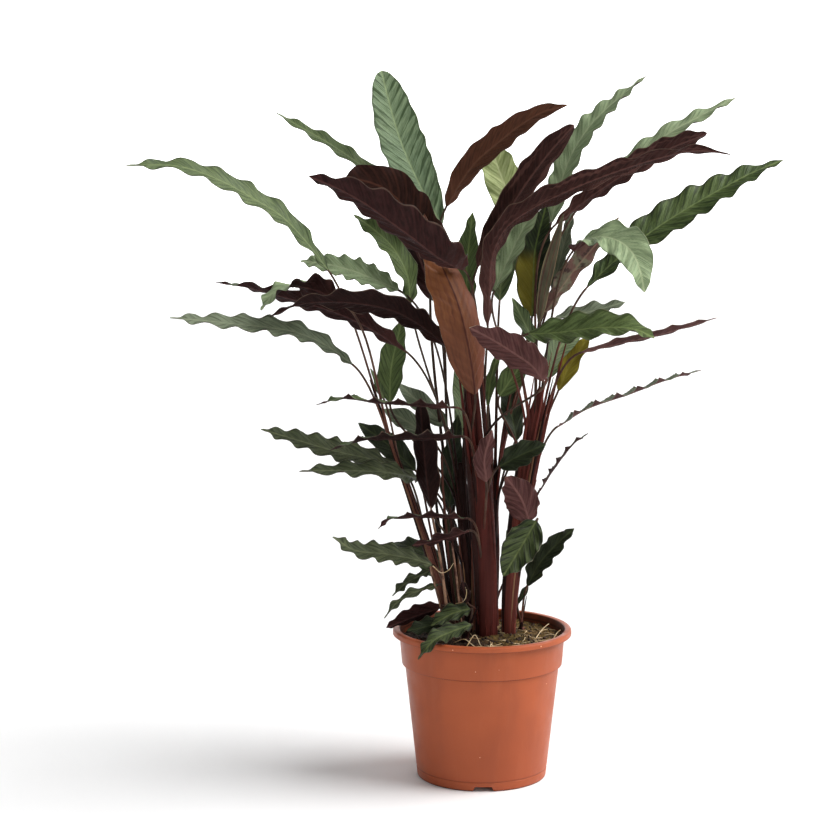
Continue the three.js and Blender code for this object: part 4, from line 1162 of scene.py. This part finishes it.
def make_leaves_and_shoots():
    leaves = [described(shoot, row) for shoot, rows in LEAVES.items() for row in rows]
    for leaf in leaves:
        if not leaf["fused"]:
            blade = Shape()
            add_blade(blade, leaf, (0, 1, 2))
            finish_piece(blade.object("fine_" + leaf["name"], leaf_materials(leaf)), "leaf", leaf["name"])
    hairs = Shape()
    for shoot_name, shoot in SHOOTS.items():
        draw = random.Random(shoot_name)
        usual, others, wraps = BUNDLES[shoot_name]
        body = Shape()
        materials = [STALKS[usual], STALKS["dark"], *(STALKS[other] for other in others)]
        add_core(body, shoot, 0 if shoot_name in LIT_CORES else 1)
        for turn, top, wide, slot in wraps:
            add_sheath_leaf(body, shoot, math.radians(turn - 90), top, wide, slot, draw)
        for leaf in leaves:
            if leaf["shoot"] != shoot_name:
                continue
            stalk_slot = draw.choice([0, 0, 0, 1])
            add_hairs(hairs, *add_stalk(body, leaf, shoot, stalk_slot, draw), draw)
            if leaf["fused"]:
                first = len(materials)
                materials += leaf_materials(leaf)
                add_blade(body, leaf, (first, first + 1, first + 2))
        for half, points, slot in BETWEEN_STALKS if shoot_name == "dark" else []:
            add_stem(body, points, half, 30, 0.7, 0.2, 10, slot)
        finish_piece(body.object("fine_shoot_" + shoot_name, materials), "stem", "shoot_" + shoot_name)
    finish_fibres(hairs, "stalk_hairs", "stem", "hair", (150, 112, 96), (92, 56, 48))


# ---- pot ----
def wall_radius(height):
    if height < POT["ledge"]:
        return mix(POT["foot_radius"], POT["body_top"], height / POT["ledge"])
    collar = POT["height"] - POT["lip_height"] - POT["ledge"]
    return mix(POT["collar_bottom"], POT["collar_top"], (height - POT["ledge"]) / collar)


def inner_radius(height):
    return wall_radius(height) - POT["wall"]


FLOOR = POT["foot_height"] + POT["wall"]
# The inner wall's steps, from the top: radius and height.
INNER_STEPS = [(inner_radius(height), height) for height in (POT["ledge"] + 2.5, POT["ledge"] - 1, FLOOR)]


def corner(before, at, after, radius, steps=4):
    """Points that round a profile's corner."""
    at = np.array(at, float)
    toward = [np.array(p, float) - at for p in (before, after)]
    first, last = (at + v / np.linalg.norm(v) * min(radius, np.linalg.norm(v) * 0.45) for v in toward)
    shares = np.linspace(0, 1, steps + 1)
    return [tuple((1 - t) ** 2 * first + 2 * t * (1 - t) * at + t**2 * last) for t in shares]


def pot_profile():
    """The pot's section from its centre foot round the lip to its floor, as (radius, height)."""
    lip_base = POT["height"] - POT["lip_height"]
    ring_inner = POT["foot_radius"] - POT["foot_ring"]
    groove = POT["groove_height"]
    inner = inner_radius(lip_base)
    places, radii = zip(
        ((0, 0.4), 0),
        ((POT["centre_foot"], 0), 0.6),
        ((POT["centre_foot"], POT["foot_height"]), 0.8),
        ((ring_inner, POT["foot_height"]), 0.8),
        ((ring_inner, 0), 0.5),
        ((POT["foot_radius"], 0), 1.6),
        ((wall_radius(groove - 1.3), groove - 1.3), 0.5),
        ((wall_radius(groove) - POT["groove_depth"], groove), 0.6),
        ((wall_radius(groove + 1.3), groove + 1.3), 0.5),
        ((wall_radius(70), 70), 0),
        ((POT["body_top"], POT["ledge"] - 0.4), 0.5),
        ((POT["collar_bottom"], POT["ledge"] + 0.3), 0.8),
        ((POT["collar_top"] - 1, lip_base + 0.6), 0.4),
        ((POT["lip_radius"] - 0.2, lip_base - 0.2), 0.7),
        ((POT["lip_radius"] - 0.4, POT["height"] - 1.2), 1.6),
        ((POT["lip_radius"] - 2.4, POT["height"]), 1.4),
        ((inner + 1, POT["height"] - 0.2), 1.8),
        ((inner, lip_base), 1.5),
        *zip(INNER_STEPS, (1.0, 1.0, 1.5)),
        ((0, FLOOR), 0),
    )
    points = [places[0]]
    for before, at, after, radius in zip(places, places[1:], places[2:], radii[1:]):
        points += corner(before, at, after, radius) if radius else [at]
    return [*points, places[-1]]


def notch_cutter(cut, turn_by):
    """A bar through the foot ring, narrower at its roof."""
    half_top, half_bottom = NOTCHES["top"] / 2, NOTCHES["bottom"] / 2 + 0.5
    roof = POT["foot_height"] - 0.2
    outline = [(-half_bottom, -1), (-half_top, roof), (half_top, roof), (half_bottom, -1)]
    near = -POT["foot_radius"] - 4
    points = np.array([(x, y, z) for y in (near, near + POT["foot_ring"] + 8) for x, z in outline], float)
    c, s = math.cos(turn_by), math.sin(turn_by)
    points[:, :2] = points[:, :2] @ np.array([[c, s], [-s, c]])
    cut.add(points, loft_faces(2, len(outline)), 0)


def cutters():
    cut = Shape()
    for k in range(NOTCHES["count"]):
        notch_cutter(cut, k * 2 * math.pi / NOTCHES["count"])
    angle = round_angles(24)
    for k in range(DRAINS["count"]):
        turn_by = (k + 0.5) * 2 * math.pi / DRAINS["count"]
        x, y = DRAINS["circle"] * math.cos(turn_by), DRAINS["circle"] * math.sin(turn_by)
        rings = [(x, y, z) + oval(DRAINS["radius"], DRAINS["radius"], angle) for z in (FLOOR - 5, FLOOR + 3)]
        cut.add(np.vstack(rings), loft_faces(2, len(angle)), 0)
    return cut.object("cutters", [])


def make_pot():
    profile = pot_profile()
    sides = POT["sides"]
    rings = [oval(radius, radius, round_angles(sides), height) for radius, height in profile[1:-1]]
    shape = Shape()
    on_axis = [(0, 0, profile[0][1]), (0, 0, profile[-1][1])]
    shape.add(np.vstack([on_axis, *rings]), turned_faces(len(rings), sides), 0)
    pot = shape.object("fine_pot", [pot_finish("pot_plastic")])
    cut = cutters()
    modifier = pot.modifiers.new("cut", "BOOLEAN")
    modifier.operation = "DIFFERENCE"
    modifier.object = cut
    modifier.solver = "EXACT"
    evaluated = pot.evaluated_get(bpy.context.evaluated_depsgraph_get())
    mesh = bpy.data.meshes.new_from_object(evaluated)
    pot.modifiers.clear()
    pot.data = mesh
    bpy.data.objects.remove(cut)
    mesh.set_sharp_from_angle(angle=math.radians(POT["sharp"]))
    finish_piece(pot, "pot", "pot")


def make_specks():
    """Small raised marks on the pot's wall."""
    shape = Shape()
    turn = round_angles(SPECK_FORM["sides"])
    for around, height, size in SPECKS:
        angle = math.radians(around)
        on_lip = height > POT["height"] - POT["lip_height"]
        radius = (POT["lip_radius"] if on_lip else wall_radius(height)) - SPECK_FORM["sink"]
        outward = np.array([math.sin(angle), -math.cos(angle), 0])
        sideways = np.array([math.cos(angle), math.sin(angle), 0])
        centre = outward * radius + np.array([0, 0, height])
        rings = []
        for k in range(SPECK_FORM["rings"]):
            rise = k / (SPECK_FORM["rings"] - 1) * np.pi / 2 * 0.95
            spread = size / 2 * np.cos(rise)
            rings.append(centre + outward * (SPECK_FORM["rise"] * np.sin(rise))
                         + sideways * (spread * np.cos(turn))[:, None]
                         + np.array([0, 0, 1]) * (spread * np.sin(turn))[:, None])
        shape.add(np.vstack(rings), loft_faces(len(rings), len(turn)), 0)
    finish_fibres(shape, "pot_marks", "pot", "pale_marks", (238, 182, 142), (226, 150, 112))


# ---- soil ----
SOIL_EDGE = inner_radius(SOIL["top"]) - SOIL["gap"]


def soil_bump(x, y):
    return np.sin(0.13 * x + 1.1) * np.sin(0.17 * y) + 0.6 * np.sin(0.31 * x - 0.23 * y)


def mossy(x, y):
    """How much moss grows at a place: most of it on the right, in lumps."""
    lump = noise.noise(Vector((x / 14, y / 14, 3))) + 0.4 * noise.noise(Vector((x / 5, y / 5, 9)))
    return min(max((x + 6) / 40 + 1.1 * lump, 0), 1)


def soil_height(x, y):
    share = min(math.hypot(x, y) / SOIL_EDGE, 1)
    height = SOIL["top"] + SOIL["mound"] * math.cos(share * math.pi / 2)
    height += SOIL["bump"] * 0.7 * soil_bump(x, y)
    crumbs = noise.fractal(Vector((x / 6, y / 6, 0.5)), 0.7, 2.1, 5)
    return height + 1.5 * crumbs + 2.2 * mossy(x, y) * (0.4 + 0.6 * noise.noise(Vector((x / 4, y / 4, 5))))


def make_soil():
    rings, sides = 46, 160
    angle = round_angles(sides)
    rows, moss = [], [0, 0]
    for r in range(1, rings + 1):
        radius = SOIL_EDGE * r / rings
        row = oval(radius, radius, angle)
        row[:, 2] = [soil_height(x, y) for x, y, _ in row]
        rows.append(row)
        moss += [mossy(x, y) for x, y, _ in row]
    foot = FLOOR + SOIL["gap"]
    for radius, height in INNER_STEPS:
        radius -= SOIL["gap"]
        rows.append(oval(radius, radius, angle, max(height, foot)))
        moss += [0] * sides
    points = np.vstack([[(0, 0, soil_height(0, 0)), (0, 0, foot)], *rows])
    shape = Shape()
    shape.add(points, turned_faces(len(rows), sides, True), 0, moss=np.array(moss, float))
    finish_piece(shape.object("fine_soil", [soil_finish("peat_and_moss")]), "soil", "soil")


def on_soil(draw, x_range, y_range):
    while True:
        x, y = draw.uniform(*x_range), draw.uniform(*y_range)
        if math.hypot(x, y) < SOIL_EDGE - 4:
            return x, y


def strand(draw, x, y, length, lift, bend, points):
    """A thin bent fibre that starts on the soil at (x, y)."""
    heading = draw.uniform(0, 2 * math.pi)
    path = [np.array([x, y, soil_height(x, y) - 0.4])]
    climb = lift
    for _ in range(points - 1):
        heading += draw.uniform(-bend, bend)
        climb -= 2.2 * lift / points
        step = length / (points - 1)
        place = path[-1] + step * np.array([math.cos(heading), math.sin(heading), climb])
        far = math.hypot(place[0], place[1])
        if far > SOIL_EDGE - 2:
            place[:2] *= (SOIL_EDGE - 2) / far
        place[2] = max(place[2], soil_height(place[0], place[1]) + 0.2)
        path.append(place)
    return np.array(path)


def make_moss(draw):
    moss = Shape()
    for _ in range(LITTER["moss"]):
        x, y = on_soil(draw, (-60, 92), (-92, 92))
        if mossy(x, y) < draw.uniform(0.15, 0.9):
            continue
        path = strand(draw, x, y, draw.uniform(3, 8), draw.uniform(0.3, 1.4), 0.7, 5)
        add_tube(moss, path, np.linspace(0.32, 0.14, 5), 4)
    finish_fibres(moss, "moss_strands", "soil", "moss_gold", (150, 124, 66), (74, 56, 26))


def make_dry_stalks():
    dry = Shape()
    for half, points in DRY_STALKS:
        add_stem(dry, points, half, 24, 0.75, 0.25, 8)
    finish_fibres(dry, "dry_stalks", "stem", "dry_stalk", (152, 116, 92), (80, 52, 42))


def make_roots(draw):
    """Pale roots, straws and threads."""
    roots = Shape()
    for _ in range(LITTER["roots"]):
        x, y = on_soil(draw, (-45, 92), (-92, 40))
        path = strand(draw, x, y, draw.uniform(10, 30), draw.uniform(0.1, 0.6), 0.45, 9)
        add_tube(roots, path, np.linspace(draw.uniform(0.4, 0.75), 0.25, 9), 6)
    for start, end, rise in STRAWS:
        crest = SOIL["top"] + rise
        halfway = mix(np.array(start), np.array(end), 0.5)
        line = Bezier((*start, SOIL["top"] + 2), (*halfway, crest), (*end, crest))
        add_tube(roots, line.point(np.linspace(0, 1, 9)), np.linspace(0.7, 0.35, 9), 6)
    for thread in THREADS:
        add_tube(roots, Rib(thread).point(np.linspace(0, 1, 24)), np.linspace(0.6, 0.3, 24), 6)
    finish_fibres(roots, "pale_roots", "soil", "root_pale", (226, 204, 164), (176, 142, 98))


def make_crumbs(draw):
    crumbs = Shape()
    for _ in range(LITTER["crumbs"]):
        x, y = on_soil(draw, (-92, 92), (-92, 92))
        size = draw.uniform(0.7, 2.2)
        centre = np.array([x, y, soil_height(x, y) + size * 0.1])
        stretch = np.array([draw.uniform(0.6, 1.3) for _ in range(3)])
        rings = []
        for latitude in (-1.2, -0.5, 0.5, 1.2):
            turn = np.arange(6) * np.pi / 3 + draw.uniform(0, 1)
            spread = size * math.cos(latitude) * np.array([draw.uniform(0.7, 1.2) for _ in range(6)])
            rings.append(centre + oval(spread, spread, turn, size * math.sin(latitude)) * stretch)
        crumbs.add(np.vstack(rings), loft_faces(4, 6), 0)
    finish_fibres(crumbs, "peat_crumbs", "soil", "peat_crumb", (66, 45, 29), (28, 18, 12))


# ---- floor, light and camera ----
def staged(name, points, faces, material):
    mesh = bpy.data.meshes.new(name)
    mesh.from_pydata(points, [], faces)
    mesh.materials.append(material)
    made = placed(name, mesh)
    return made


def glowing(name, strength):
    finish = Finish(name, 1.0, Emission_Strength=strength, Emission_Color=WHITE)
    finish.colour((255, 255, 255))
    return finish.material


def make_studio():
    """A pale floor and a white, evenly lit backdrop, in a white ring that only the camera sees."""
    reach = STUDIO_REACH
    floor = Finish("floor", 0.9, Specular_IOR_Level=0.1)
    floor.colour((250, 250, 250))
    staged("floor", [(-reach, -reach, 0), (reach, -reach, 0), (reach, reach, 0), (-reach, reach, 0)],
           [(0, 1, 2, 3)], floor.material)
    staged("backdrop", [(-reach, reach, 0), (reach, reach, 0), (reach, reach, reach), (-reach, reach, reach)],
           [(0, 1, 2, 3)], glowing("backdrop", BACKDROP_GLOW))
    angle = round_angles(48)
    rings = np.vstack([oval(0.98 * reach, 0.98 * reach, angle, z) for z in (0, reach)])
    ring = staged("ring", rings.tolist(), loft_faces(2, len(angle), False), glowing("ring_white", 1.0))
    ring.visible_diffuse = False
    ring.visible_glossy = False
    ring.visible_transmission = False
    ring.visible_shadow = False


def make_lights():
    """Soft suns, as large, far lamps are, in a faintly glowing world."""
    for name, (toward, strength, softness) in SUNS.items():
        data = bpy.data.lights.new(name, "SUN")
        data.energy = strength
        data.angle = math.radians(softness)
        placed(name, data).rotation_euler = Vector(toward).to_track_quat("Z", "Y").to_euler()
    world = bpy.data.worlds.new("studio")
    world.use_nodes = True
    glow = world.node_tree.nodes["Background"].inputs
    glow["Color"].default_value = WHITE
    glow["Strength"].default_value = WORLD_GLOW
    bpy.context.scene.world = world
    bpy.context.scene.view_settings.view_transform = "Standard"


def make_camera():
    data = bpy.data.cameras.new("camera")
    data.sensor_width = CAMERA["sensor"]
    data.lens = CAMERA["lens"]
    camera = placed("camera", data)
    camera.location = CAMERA["place"]
    camera.rotation_euler = (math.radians(90 - CAMERA["pitch"]), 0, 0)
    bpy.context.scene.camera = camera


make_leaves_and_shoots()
make_pot()
make_specks()
make_soil()
litter_draw = random.Random(SEED)
make_moss(litter_draw)
make_dry_stalks()
make_roots(litter_draw)
make_crumbs(litter_draw)
make_studio()
make_lights()
make_camera()

bpy.context.view_layer.update()
